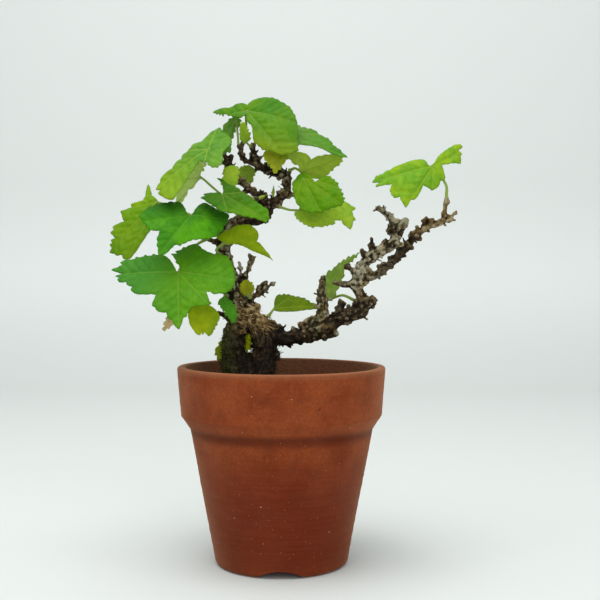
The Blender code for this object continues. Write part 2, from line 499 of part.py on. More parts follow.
def make_net(group, root):
    """Plastic net over the drain hole: a grid of faces inset to bars, then thickened."""
    bm = bmesh.new()
    bmesh.ops.create_grid(bm, x_segments=NET_CELLS, y_segments=NET_CELLS, size=NET_SIDE / 2)
    cells = bmesh.ops.inset_individual(bm, faces=list(bm.faces), thickness=NET_BAR / 2)
    rims = set(cells["faces"])
    bmesh.ops.delete(bm, geom=[f for f in bm.faces if f not in rims], context="FACES")
    bmesh.ops.translate(bm, verts=bm.verts, vec=(0, 0, FLOOR + GAP + NET_THICK / 2))
    net = add_object("drain_net", mesh_of(bm, "drain_net"), group, "net", root)
    thick = net.modifiers.new("thick", "SOLIDIFY")
    thick.thickness = NET_THICK * MM
    thick.offset = 0.0
    return net


def make_soil(group, root):
    """Soil turned to fit the pot, grained on top, with plain holes for the rootstock and the net."""
    low = FLOOR + GAP
    corner = FLOOR_ROUND + GAP
    outline = [(0.0, low), (cavity_radius(FLOOR) - corner, low),
               (cavity_radius(low + FLOOR_ROUND) - SOIL_GAP, low + FLOOR_ROUND),
               (cavity_radius(WALL_TOP) - SOIL_GAP, WALL_TOP),
               (cavity_radius(SOIL_TOP) - SOIL_GAP, SOIL_TOP)]
    outline += [(r, SOIL_TOP) for r in SOIL_RINGS] + [(0.0, SOIL_TOP)]
    bm = bmesh.new()
    line = [bm.verts.new((r, 0.0, z)) for r, z in outline]
    edges = [bm.edges.new(pair) for pair in zip(line, line[1:])]
    bmesh.ops.spin(bm, geom=line + edges, cent=(0, 0, 0), axis=(0, 0, 1), dvec=(0, 0, 0),
                   angle=math.tau, steps=SOIL_SIDES, use_merge=True)
    bmesh.ops.remove_doubles(bm, verts=bm.verts, dist=MERGE / MM)
    chance = random.Random(SOIL_SEED)
    for vert in sorted(bm.verts, key=lambda v: tuple(round(c, 3) for c in v.co)):
        if vert.co.z > SOIL_TOP - GAP and vert.co.xy.length < SOIL_RINGS[0] + GAP:
            vert.co.z += chance.uniform(-SOIL_GRAIN, SOIL_GRAIN)
    bmesh.ops.recalc_face_normals(bm, faces=bm.faces)
    soil = add_object("soil", mesh_of(bm, "soil"), group, "soil", root)
    hole = [(0.0, RIM_TOP), (ROOT_HOLE, RIM_TOP), (ROOT_HOLE, ROOT_SHOULDER),
            (ROOT_HOLE * ROOT_TAPER, ROOT_BOTTOM - GAP), (0.0, ROOT_BOTTOM - GAP)]
    bm = bmesh.new()
    line = [bm.verts.new((r, 0.0, z)) for r, z in hole]
    edges = [bm.edges.new(pair) for pair in zip(line, line[1:])]
    bmesh.ops.spin(bm, geom=line + edges, cent=(0, 0, 0), axis=(0, 0, 1), dvec=(0, 0, 0),
                   angle=math.tau, steps=ROOT_SIDES, use_merge=True)
    bmesh.ops.remove_doubles(bm, verts=bm.verts, dist=MERGE / MM)
    bmesh.ops.recalc_face_normals(bm, faces=bm.faces)
    bmesh.ops.translate(bm, verts=bm.verts, vec=(*ROOT_PLACE, 0.0))
    combine(soil, helper("root_hole", mesh_of(bm, "root_hole"), root), "DIFFERENCE")
    bm = bmesh.new()
    bmesh.ops.create_cube(bm, size=1.0)
    pocket = NET_SIDE + NET_CLEAR
    bmesh.ops.scale(bm, verts=bm.verts, vec=(pocket, pocket, 2 * (NET_THICK + GAP)))
    bmesh.ops.translate(bm, verts=bm.verts, vec=(0, 0, low))
    combine(soil, helper("net_pocket", mesh_of(bm, "net_pocket"), root), "DIFFERENCE")
    return soil


def make_wood(group, root):
    """Rootstock, trunk, branches, spurs and buds, grown together as one piece."""
    chance = random.Random(BUD_SEED)
    routes = [smooth_route(route, ROUTE_STEPS) for route in ROUTES.values()]
    routes += bud_routes(chance)
    for leaf in LEAVES.values():
        routes.append([(*leaf.root, 1.25), (*leaf.foot, 1.0)])
    mesh = solid_of_curve(tube_curve("stems", routes, TUBE_RINGS), "stems")
    wood = add_object("wood", mesh, group, "bark", root)
    joined = wood.modifiers.new("joined", "REMESH")
    joined.mode = "VOXEL"
    joined.voxel_size = WOOD_VOXEL * MM
    fewer = wood.modifiers.new("fewer", "DECIMATE")
    fewer.ratio = WOOD_SHARE
    return wood


def polar(angle, reach):
    """A point of the flat blade: x to the side of the midrib, y along it."""
    return Vector((reach * math.sin(math.radians(angle)), reach * math.cos(math.radians(angle))))


def toothed_edge(edge, pitch, depth):
    """The blade's outline: straight runs between its lobe tips and notches, cut into saw teeth."""
    out = []
    points = [polar(*corner) for corner in edge]
    for k, (start, stop) in enumerate(zip(points, points[1:] + points[:1])):
        out.append(start)
        run = stop - start
        closing = k == len(points) - 1
        teeth = 0 if closing else round(run.length / pitch)
        outward = Vector((run.y, -run.x)).normalized()
        if outward.dot(start + stop) < 0:
            outward = -outward
        lean = 0.72 if stop.length > start.length else 0.28
        for n in range(teeth):
            if n:
                out.append(start.lerp(stop, n / teeth))
            out.append(start.lerp(stop, (n + lean) / teeth) + outward * depth)
    return out


def points_inside(outline, spacing, margin):
    """Grid points inside an outline that keep a margin from it."""
    reach = max(point.length for point in outline)
    count = math.ceil(reach / spacing)
    edges = list(zip(outline, outline[1:] + outline[:1]))
    inside = []
    for i in range(-count, count + 1):
        for j in range(-count, count + 1):
            point = Vector((i * spacing, j * spacing))
            crossings = sum(
                (a.y > point.y) != (b.y > point.y)
                and point.x < a.x + (b.x - a.x) * (point.y - a.y) / (b.y - a.y)
                for a, b in edges)
            if crossings % 2 == 0:
                continue
            if all(edge_distance(point, a, b) > margin for a, b in edges):
                inside.append(point)
    return inside


def edge_distance(point, start, stop):
    """Distance from a flat point to a line between two others."""
    nearest, share = intersect_point_line(point, start, stop)
    nearest = start.lerp(stop, min(1.0, max(0.0, share)))
    return (point - nearest.xy).length


def leaf_axes(leaf):
    """The blade's own frame: along the midrib, out of the upper face, and across."""
    base, tip = Vector(leaf.base), Vector(leaf.tip)
    along = (tip - base).normalized()
    facing = Vector((0, -1, 0))
    facing = (facing - along * along.dot(facing)).normalized()
    up = Matrix.Rotation(math.radians(leaf.roll), 3, along) @ facing
    return base, (tip - base).length, along, up, along.cross(up)


def place_on_blade(leaf, point):
    """A flat point of the blade, bent by the dome and the fold and set in the tree."""
    base, length, along, up, across = leaf_axes(leaf)
    dome = leaf.dome * (length * point.y - point.length_squared) / length
    fold = leaf.fold * (math.hypot(point.x, 1.0) - 1.0)
    return base + along * point.y + across * point.x + up * (dome + fold)


def make_leaf(name, leaf, group, root):
    """A blade on its stalk."""
    outline = toothed_edge(leaf.edge, TOOTH_PITCH, TOOTH_DEPTH)
    points = outline + points_inside(outline, BLADE_MESH, BLADE_MARGIN)
    loop = list(range(len(outline)))
    sheet = delaunay_2d_cdt(points, [], [loop], 1, 0.001)
    bm = bmesh.new()
    verts = [bm.verts.new(place_on_blade(leaf, point)) for point in sheet[0]]
    for face in sheet[2]:
        bm.faces.new([verts[k] for k in face])
    bmesh.ops.recalc_face_normals(bm, faces=bm.faces)
    blade = add_object(name, mesh_of(bm, name), group, leaf.tint, root)
    thick = blade.modifiers.new("thick", "SOLIDIFY")
    thick.thickness = BLADE * MM
    thick.offset = 0.0
    foot, bend, base = Vector(leaf.foot), Vector(leaf.bend), Vector(leaf.base)
    start = foot + (bend - foot).normalized() * STALK_GAP
    inside = place_on_blade(leaf, Vector((0.0, 2.5)))
    stalk = smooth_route([(*start, STALK_RADIUS), (*bend, STALK_RADIUS), (*base, STALK_RADIUS),
                          (*inside, STALK_RADIUS * 0.8)], 2)
    mesh = solid_of_curve(tube_curve("stalk_" + name, [stalk], 1), "stalk_" + name)
    combine(blade, helper("stalk_" + name, mesh, root), "UNION", "MANIFOLD")
    return blade


def main():
    for thing in list(bpy.data.objects):
        bpy.data.objects.remove(thing)
    scene = bpy.context.scene
    group = bpy.data.collections.new("mulberry_bonsai")
    cutters = bpy.data.collections.new("cutters")
    scene.collection.children.link(group)
    scene.collection.children.link(cutters)
    root = bpy.data.objects.new("pot_axis", None)
    root.location = (POT_PLACE[0] * MM, POT_PLACE[1] * MM, 0.0)
    group.objects.link(root)
    make_pot(group, root)
    make_net(group, root)
    make_soil(group, root)
    make_wood(group, root)
    for name, leaf in LEAVES.items():
        make_leaf(name, leaf, group, root)


main()
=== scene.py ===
# %% [markdown]
# # A mulberry bonsai in a terracotta pot
#
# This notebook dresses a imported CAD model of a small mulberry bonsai. The CAD gives every piece its
# size and place. Here each piece is built again, finer, in the space that its CAD solid holds: the
# thrown pot, the soil, the knotted wood and the lobed, toothed, veined leaves.

import math
import random
from collections import namedtuple

import bmesh
import bpy
import numpy as np
from mathutils import Matrix, Vector, noise
from mathutils.geometry import delaunay_2d_cdt
from mathutils.kdtree import KDTree


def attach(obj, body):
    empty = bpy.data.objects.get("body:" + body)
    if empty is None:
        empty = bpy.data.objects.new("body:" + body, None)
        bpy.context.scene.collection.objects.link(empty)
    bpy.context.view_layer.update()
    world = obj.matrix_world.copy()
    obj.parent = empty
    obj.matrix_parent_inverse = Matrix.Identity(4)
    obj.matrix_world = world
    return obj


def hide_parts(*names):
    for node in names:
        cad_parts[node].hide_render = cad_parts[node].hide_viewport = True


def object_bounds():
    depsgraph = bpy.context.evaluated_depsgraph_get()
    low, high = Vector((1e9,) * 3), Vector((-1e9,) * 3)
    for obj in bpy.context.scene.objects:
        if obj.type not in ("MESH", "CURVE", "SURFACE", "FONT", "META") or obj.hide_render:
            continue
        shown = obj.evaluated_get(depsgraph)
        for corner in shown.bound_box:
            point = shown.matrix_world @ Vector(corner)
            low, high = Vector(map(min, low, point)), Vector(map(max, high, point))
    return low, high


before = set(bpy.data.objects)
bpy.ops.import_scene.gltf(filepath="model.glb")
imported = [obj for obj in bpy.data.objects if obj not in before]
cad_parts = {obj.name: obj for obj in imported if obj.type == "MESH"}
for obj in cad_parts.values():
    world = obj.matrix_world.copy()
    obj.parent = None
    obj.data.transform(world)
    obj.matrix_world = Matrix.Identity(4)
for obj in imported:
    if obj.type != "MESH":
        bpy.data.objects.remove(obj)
cad_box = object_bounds()
MM = 0.001
BODY = "root"
print("nodes in the frame:", len(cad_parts))

# %% [markdown]
# ## The camera and the pot's axis
#
# The origin of the frame lies under the middle of the whole tree, which leans to the right, so the
# pot's axis stands a millimetre to the left of it. All sizes below are in millimetres from the pot's
# axis, with X to the viewer's right, Y away from the viewer and Z up. The camera looks level across
# the rim from 45 cm away, as one looks at a small bonsai on a shelf.

# %% Camera
POT_PLACE = Vector((-1.0, 0.0, 0.0))
EYE = Vector((8.16, -450.0, 124.8))
EYE_TILT = 0.019
FOCAL_PIXELS = 1013.6
IMAGE_PIXELS = 600


def add_camera():
    """A level portrait camera in front of the tree."""
    data = bpy.data.cameras.new("front_camera")
    data.sensor_width = 36.0
    data.lens = FOCAL_PIXELS / IMAGE_PIXELS * data.sensor_width
    data.dof.use_dof = False
    camera = bpy.data.objects.new("front_camera", data)
    bpy.context.scene.collection.objects.link(camera)
    camera.location = (POT_PLACE + EYE) * MM
    camera.rotation_euler = (math.pi / 2 - EYE_TILT, 0.0, 0.0)
    bpy.context.scene.camera = camera


add_camera()

# %% [markdown]
# ## Small helpers
#
# Blender's operators act on whatever is selected, and loading the frame leaves its nodes selected. So
# every piece starts from an empty selection. A finished mesh is kept in metres, in place, on an object
# that stays at the origin.

# %% Helpers for pieces


def start_clean():
    """Leave edit mode and select nothing."""
    if bpy.context.object and bpy.context.object.mode != "OBJECT":
        bpy.ops.object.mode_set(mode="OBJECT")
    bpy.ops.object.select_all(action="DESELECT")


def make_active(thing):
    """Select one object alone."""
    start_clean()
    thing.select_set(True)
    bpy.context.view_layer.objects.active = thing


def apply_modifiers(thing):
    """Apply all of an object's modifiers, in order."""
    make_active(thing)
    for step in list(thing.modifiers):
        bpy.ops.object.modifier_apply(modifier=step.name)


def points_of(mesh):
    """A mesh's vertices as a numpy array."""
    flat = np.empty(len(mesh.vertices) * 3)
    mesh.vertices.foreach_get("co", flat)
    return flat.reshape(-1, 3)


def normals_of(mesh):
    """A mesh's vertex normals as a numpy array."""
    flat = np.empty(len(mesh.vertices) * 3)
    mesh.vertex_normals.foreach_get("vector", flat)
    return flat.reshape(-1, 3)


EDGE_ROOM = 7.0 * MM


def draw_inside(points):
    """Points with their outermost millimetres drawn in a little, where they pass the CAD box."""
    for axis in range(3):
        for side, sign in ((0, -1.0), (1, 1.0)):
            reach, limit = sign * points[:, axis], sign * cad_box[side][axis]
            start = limit - EDGE_ROOM
            over = reach.max() - limit
            if over > 0:
                near = np.maximum(reach - start, 0.0)
                points[:, axis] -= sign * near * over / (over + EDGE_ROOM)
    return points


def settle(thing, offset=POT_PLACE, inside=True):
    """Scale a mesh from millimetres to metres and set it beside the pot's axis, inside the CAD box."""
    mesh = thing.data
    mesh.transform(Matrix.Translation(offset * MM) @ Matrix.Scale(MM, 4) @ thing.matrix_world)
    thing.matrix_world = Matrix.Identity(4)
    if inside:
        mesh.vertices.foreach_set("co", draw_inside(points_of(mesh)).ravel())
    mesh.update()


def set_points(mesh, points):
    """Write a numpy array back to a mesh's vertices."""
    mesh.vertices.foreach_set("co", np.ascontiguousarray(points, dtype=float).ravel())
    mesh.update()


def dress(piece, material, slot, *nodes):
    """Give a finished piece its material, its CAD body and the nodes that it stands for."""
    piece.data.materials.clear()
    piece.data.materials.append(material)
    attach(piece, BODY)
    if nodes:
        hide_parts(*nodes)
    piece.data.calc_loop_triangles()
    print(piece.name, "has", len(piece.data.loop_triangles), "triangles")


def noise_at(points, size, seed=0.0):
    """Smooth noise between about -1 and 1 at points in millimetres, with features of a size."""
    shift = Vector((seed * 17.3, seed * 5.1, seed * 11.7))
    return np.array([noise.noise(Vector(p) / size + shift) for p in points])


# %% [markdown]
# ## Building materials in code
#
# A Principled shader takes its colour and roughness from a few noise nodes. These helpers add one node
# and wire it up, so that each material below reads as a short recipe. Patterns that several finishes
# share are node groups, with named inputs and outputs.

# %% Helpers for nodes


def add_node(tree, kind, inputs=None, **settings):
    """Add a node, set its options, then link or set its inputs."""
    node = tree.nodes.new(kind)
    for name, value in settings.items():
        setattr(node, name, value)
    for name, value in (inputs or {}).items():
        if isinstance(value, bpy.types.NodeSocket):
            tree.links.new(value, node.inputs[name])
        else:
            node.inputs[name].default_value = value
    return node


def maths(tree, operation, a, b=0.0, clamp=False):
    """A Math node's result."""
    return add_node(tree, "ShaderNodeMath", {0: a, 1: b}, operation=operation, use_clamp=clamp).outputs[0]


def blend_colours(tree, share, first, second, mode="MIX"):
    """Mix two colours by a share from 0 to 1."""
    node = add_node(tree, "ShaderNodeMix", data_type="RGBA", blend_type=mode)
    for socket, value in ((0, share), (6, first), (7, second)):
        if isinstance(value, bpy.types.NodeSocket):
            tree.links.new(value, node.inputs[socket])
        else:
            node.inputs[socket].default_value = value
    return node.outputs[2]


def ramp_between(tree, value, low, high):
    """A value stretched so that low gives 0 and high gives 1."""
    node = add_node(tree, "ShaderNodeMapRange", {"Value": value, "From Min": low, "From Max": high},
                    interpolation_type="SMOOTHSTEP")
    return node.outputs["Result"]


def new_group(name, inputs, outputs):
    """A shader node group with typed, named sockets. Returns the tree and its two end nodes."""
    tree = bpy.data.node_groups.new(name, "ShaderNodeTree")
    for label, kind, value in inputs:
        socket = tree.interface.new_socket(label, in_out="INPUT", socket_type=kind)
        if value is not None:
            socket.default_value = value
    for label, kind in outputs:
        tree.interface.new_socket(label, in_out="OUTPUT", socket_type=kind)
    return tree, tree.nodes.new("NodeGroupInput"), tree.nodes.new("NodeGroupOutput")


def use_group(tree, group, inputs):
    """Place a group in a material with its own values."""
    node = add_node(tree, "ShaderNodeGroup", node_tree=group)
    for name, value in inputs.items():
        if isinstance(value, bpy.types.NodeSocket):
            tree.links.new(value, node.inputs[name])
        else:
            node.inputs[name].default_value = value
    return node


def new_material(name, **settings):
    """A material with one Principled shader. Returns it, its tree, the shader and its output node."""
    material = bpy.data.materials.new(name)
    material.use_nodes = True
    tree = material.node_tree
    shader = tree.nodes["Principled BSDF"]
    for label, value in settings.items():
        shader.inputs[label.replace("_", " ")].default_value = value
    return material, tree, shader, tree.nodes["Material Output"]


def srgb(red, green, blue):
    """A screen colour of 0 to 255 as the linear colour that shaders use."""
    values = [v / 255 for v in (red, green, blue)]
    return tuple(v / 12.92 if v <= 0.04045 else ((v + 0.055) / 1.055) ** 2.4 for v in values) + (1.0,)


# %% [markdown]
# ### Shared patterns
#
# Clay, bark, soil and leaves all show soft patches and fine grain. `patches` gives a soft mask at one
# size in millimetres, and `specks` gives small separate dots, such as the white salts on old terracotta.

# %% Shared node groups


def make_patches_group():
    """Soft patches of a size in millimetres, as a mask."""
    tree, ends, out = new_group(
        "patches",
        [("Vector", "NodeSocketVector", None), ("Size", "NodeSocketFloat", 10.0),
         ("Low", "NodeSocketFloat", 0.4), ("High", "NodeSocketFloat", 0.6)],
        [("Mask", "NodeSocketFloat")])
    scale = maths(tree, "DIVIDE", 1.0 / MM, ends.outputs["Size"])
    cloud = add_node(tree, "ShaderNodeTexNoise",
                     {"Vector": ends.outputs["Vector"], "Scale": scale, "Detail": 4.0, "Roughness": 0.6})
    mask = ramp_between(tree, cloud.outputs["Fac"], ends.outputs["Low"], ends.outputs["High"])
    tree.links.new(mask, out.inputs["Mask"])
    return tree


def make_specks_group():
    """Separate dots: the pitch between them, their radius and the share of places that hold one."""
    tree, ends, out = new_group(
        "specks",
        [("Vector", "NodeSocketVector", None), ("Pitch", "NodeSocketFloat", 3.0),
         ("Radius", "NodeSocketFloat", 0.15), ("Share", "NodeSocketFloat", 0.3)],
        [("Mask", "NodeSocketFloat")])
    scale = maths(tree, "DIVIDE", 1.0 / MM, ends.outputs["Pitch"])
    cells = add_node(tree, "ShaderNodeTexVoronoi", {"Vector": ends.outputs["Vector"], "Scale": scale})
    chance = add_node(tree, "ShaderNodeSeparateColor", {0: cells.outputs["Color"]})
    kept = maths(tree, "LESS_THAN", chance.outputs[0], ends.outputs["Share"])
    far = maths(tree, "DIVIDE", maths(tree, "MULTIPLY", cells.outputs["Distance"], ends.outputs["Pitch"]),
                ends.outputs["Radius"])
    dot = ramp_between(tree, far, 1.0, 0.6)
    tree.links.new(maths(tree, "MULTIPLY", dot, kept), out.inputs["Mask"])
    return tree


patches = make_patches_group()
specks = make_specks_group()

# %% [markdown]
# ## The pot
#
# The pot was thrown on a wheel, so its wall carries fine rings where fingers and a rib passed. A pot
# could be a Screw modifier on an outline. Here it is raised ring by ring, as a potter raises clay: a
# circle is extruded and scaled along the outline, and the last ring is bridged to the first.

# %% The pot's outline
RIM_TOP, RIM_RADIUS, RIM_FOOT_RADIUS, RIM_FOOT = 87.0, 46.0, 44.5, 65.1
WALL_TOP_RADIUS, WALL_TOP, FOOT_RADIUS = 40.4, 59.8, 29.7
LIP_WIDTH, LIP_ROUND, WALL, FLOOR, FLOOR_ROUND = 3.6, 1.0, 4.5, 8.8, 2.0
FOOT_ROUND, FOOT_RING, UNDERSIDE, DRAIN_RADIUS = 2.5, 5.0, 3.8, 7.0
POT_SIDES = 144
POT_STEP = 1.1


def arc(r, z, radius, first, last, steps=5):
    """Points of a round corner of the outline, by angle in degrees from outward."""
    angles = [math.radians(first + (last - first) * k / steps) for k in range(steps + 1)]
    return [(r + radius * math.cos(a), z + radius * math.sin(a)) for a in angles]


def cavity_radius(z):
    """Inner radius of the pot at a height."""
    if z < WALL_TOP:
        low, high, share = FOOT_RADIUS - WALL, WALL_TOP_RADIUS - WALL, z / WALL_TOP
    else:
        low, high = WALL_TOP_RADIUS - WALL, RIM_RADIUS - LIP_WIDTH
        share = (z - WALL_TOP) / (RIM_TOP - WALL_TOP)
    return low + (high - low) * share


def pot_outline():
    """The outline from the lip down the outside, under the foot and up the inside."""
    foot_inner = FOOT_RADIUS - FOOT_ROUND - FOOT_RING
    line = arc(RIM_RADIUS - LIP_ROUND, RIM_TOP - LIP_ROUND, LIP_ROUND, 90, 0)
    line += arc(RIM_FOOT_RADIUS - 0.9, RIM_FOOT + 0.9, 0.9, 0, -50, 4)
    line += [(WALL_TOP_RADIUS + 0.5, WALL_TOP + 0.7), (WALL_TOP_RADIUS, WALL_TOP)]
    line += arc(FOOT_RADIUS - FOOT_ROUND, FOOT_ROUND, FOOT_ROUND, 0, -90)
    line += [(foot_inner, 0.0), (foot_inner - 1.0, UNDERSIDE), (DRAIN_RADIUS, UNDERSIDE),
             (DRAIN_RADIUS, FLOOR), (cavity_radius(FLOOR) - FLOOR_ROUND, FLOOR),
             (cavity_radius(FLOOR + FLOOR_ROUND), FLOOR + FLOOR_ROUND), (cavity_radius(WALL_TOP), WALL_TOP)]
    line += arc(RIM_RADIUS - LIP_WIDTH + LIP_ROUND, RIM_TOP - LIP_ROUND, LIP_ROUND, 180, 92)
    return line


def finer(line, step):
    """The same outline with points no further apart than a step."""
    out = []
    for (r1, z1), (r2, z2) in zip(line, line[1:]):
        count = max(1, math.ceil(math.dist((r1, z1), (r2, z2)) / step))
        out += [(r1 + (r2 - r1) * k / count, z1 + (z2 - z1) * k / count) for k in range(count)]
    return out + [line[-1]]


def raise_rings(name, line, sides, closed):
    """Extrude and scale a circle along an outline, and bridge its ends if it is closed."""
    start_clean()
    bpy.ops.mesh.primitive_circle_add(vertices=sides, radius=line[0][0], location=(0, 0, line[0][1]))
    thing = bpy.context.object
    thing.name = name
    bpy.ops.object.transform_apply(location=True)
    bpy.ops.object.mode_set(mode="EDIT")
    bpy.ops.mesh.select_all(action="SELECT")
    for (r1, z1), (r2, z2) in zip(line, line[1:]):
        bpy.ops.mesh.extrude_edges_move()
        bpy.ops.transform.resize(value=(r2 / r1, r2 / r1, 1.0), center_override=(0, 0, 0))
        bpy.ops.transform.translate(value=(0, 0, z2 - z1))
    if closed:
        bpy.ops.object.mode_set(mode="OBJECT")
        count = len(thing.data.vertices)
        for vert in thing.data.vertices:
            vert.select = vert.index < sides or vert.index >= count - sides
        for edge in thing.data.edges:
            edge.select = all(thing.data.vertices[k].select for k in edge.vertices)
        bpy.ops.object.mode_set(mode="EDIT")
        bpy.ops.mesh.bridge_edge_loops()
    bpy.ops.mesh.select_all(action="SELECT")
    bpy.ops.mesh.normals_make_consistent(inside=False)
    bpy.ops.object.mode_set(mode="OBJECT")
    return thing


pot = raise_rings("terracotta_pot", finer(pot_outline(), POT_STEP), POT_SIDES, closed=True)
print("pot rings:", len(pot.data.vertices) // POT_SIDES)

# %% [markdown]
# The foot has three shallow notches, so that water can leave from under the pot. Each is cut with a
# large cylinder, because the photo shows a flat arch.

# %% Notches and throwing rings
NOTCHES, NOTCH_WIDTH, NOTCH_HEIGHT = 3, 21.0, 3.4
RING_DEPTH = 0.10
WOBBLE = 0.22


def throw_rings(thing):
    """Fine rings round the wall, and the slight wobble of hand work."""
    points = points_of(thing.data)
    normals = normals_of(thing.data)
    angle = np.arctan2(points[:, 1], points[:, 0])
    spiral = points[:, 2] + angle / math.tau * 1.4
    lines = np.array([noise.noise(Vector((z / 0.9, 0.4, 2.0))) + 0.7 * noise.noise(Vector((z / 2.6, 7.0, 1.0)))
                      for z in spiral])
    slow = np.array([noise.noise(Vector((math.cos(a) * 1.1, math.sin(a) * 1.1, z / 34.0)))
                     for a, z in zip(angle, points[:, 2])])
    level = np.clip(points[:, 2] / 6.0, 0.0, 1.0)
    push = (RING_DEPTH * lines + WOBBLE * slow) * level
    set_points(thing.data, points + normals * push[:, None])


def cut_notches(thing):
    """Three flat arches through the foot ring."""
    radius = (NOTCH_WIDTH ** 2 / 4 + NOTCH_HEIGHT ** 2) / (2 * NOTCH_HEIGHT)
    reach = FOOT_RADIUS - FOOT_RING * 0.7
    for k in range(NOTCHES):
        start_clean()
        bpy.ops.mesh.primitive_cylinder_add(vertices=128, radius=radius, depth=FOOT_RING * 3,
                                            location=(0, -reach, NOTCH_HEIGHT - radius),
                                            rotation=(math.pi / 2, 0, 0))
        cutter = bpy.context.object
        cutter.data.transform(Matrix.Rotation(math.tau * k / NOTCHES, 4, "Z") @ cutter.matrix_world)
        cutter.matrix_world = Matrix.Identity(4)
        step = thing.modifiers.new("notch", "BOOLEAN")
        step.operation = "DIFFERENCE"
        step.object = cutter
        apply_modifiers(thing)
        bpy.data.objects.remove(cutter)


throw_rings(pot)
cut_notches(pot)
make_active(pot)
bpy.ops.object.shade_smooth_by_angle(angle=math.radians(38))
settle(pot)

# %% [markdown]
# ### Terracotta
#
# The clay is red-brown and darker and redder low on the front, where it stays damp. Water has left a paler bloom on
# the lip, a painted shadow line darkens the wall under the collar, white salts dot the wall and the inside is dark
# with algae. All of it follows the height on the pot, so it is mixed by Object Z.

# %% Terracotta material


def height_mask(tree, z, low, high):
    """A soft band mask between two heights in millimetres; low above high turns it round."""
    return ramp_between(tree, z, low * MM, high * MM)


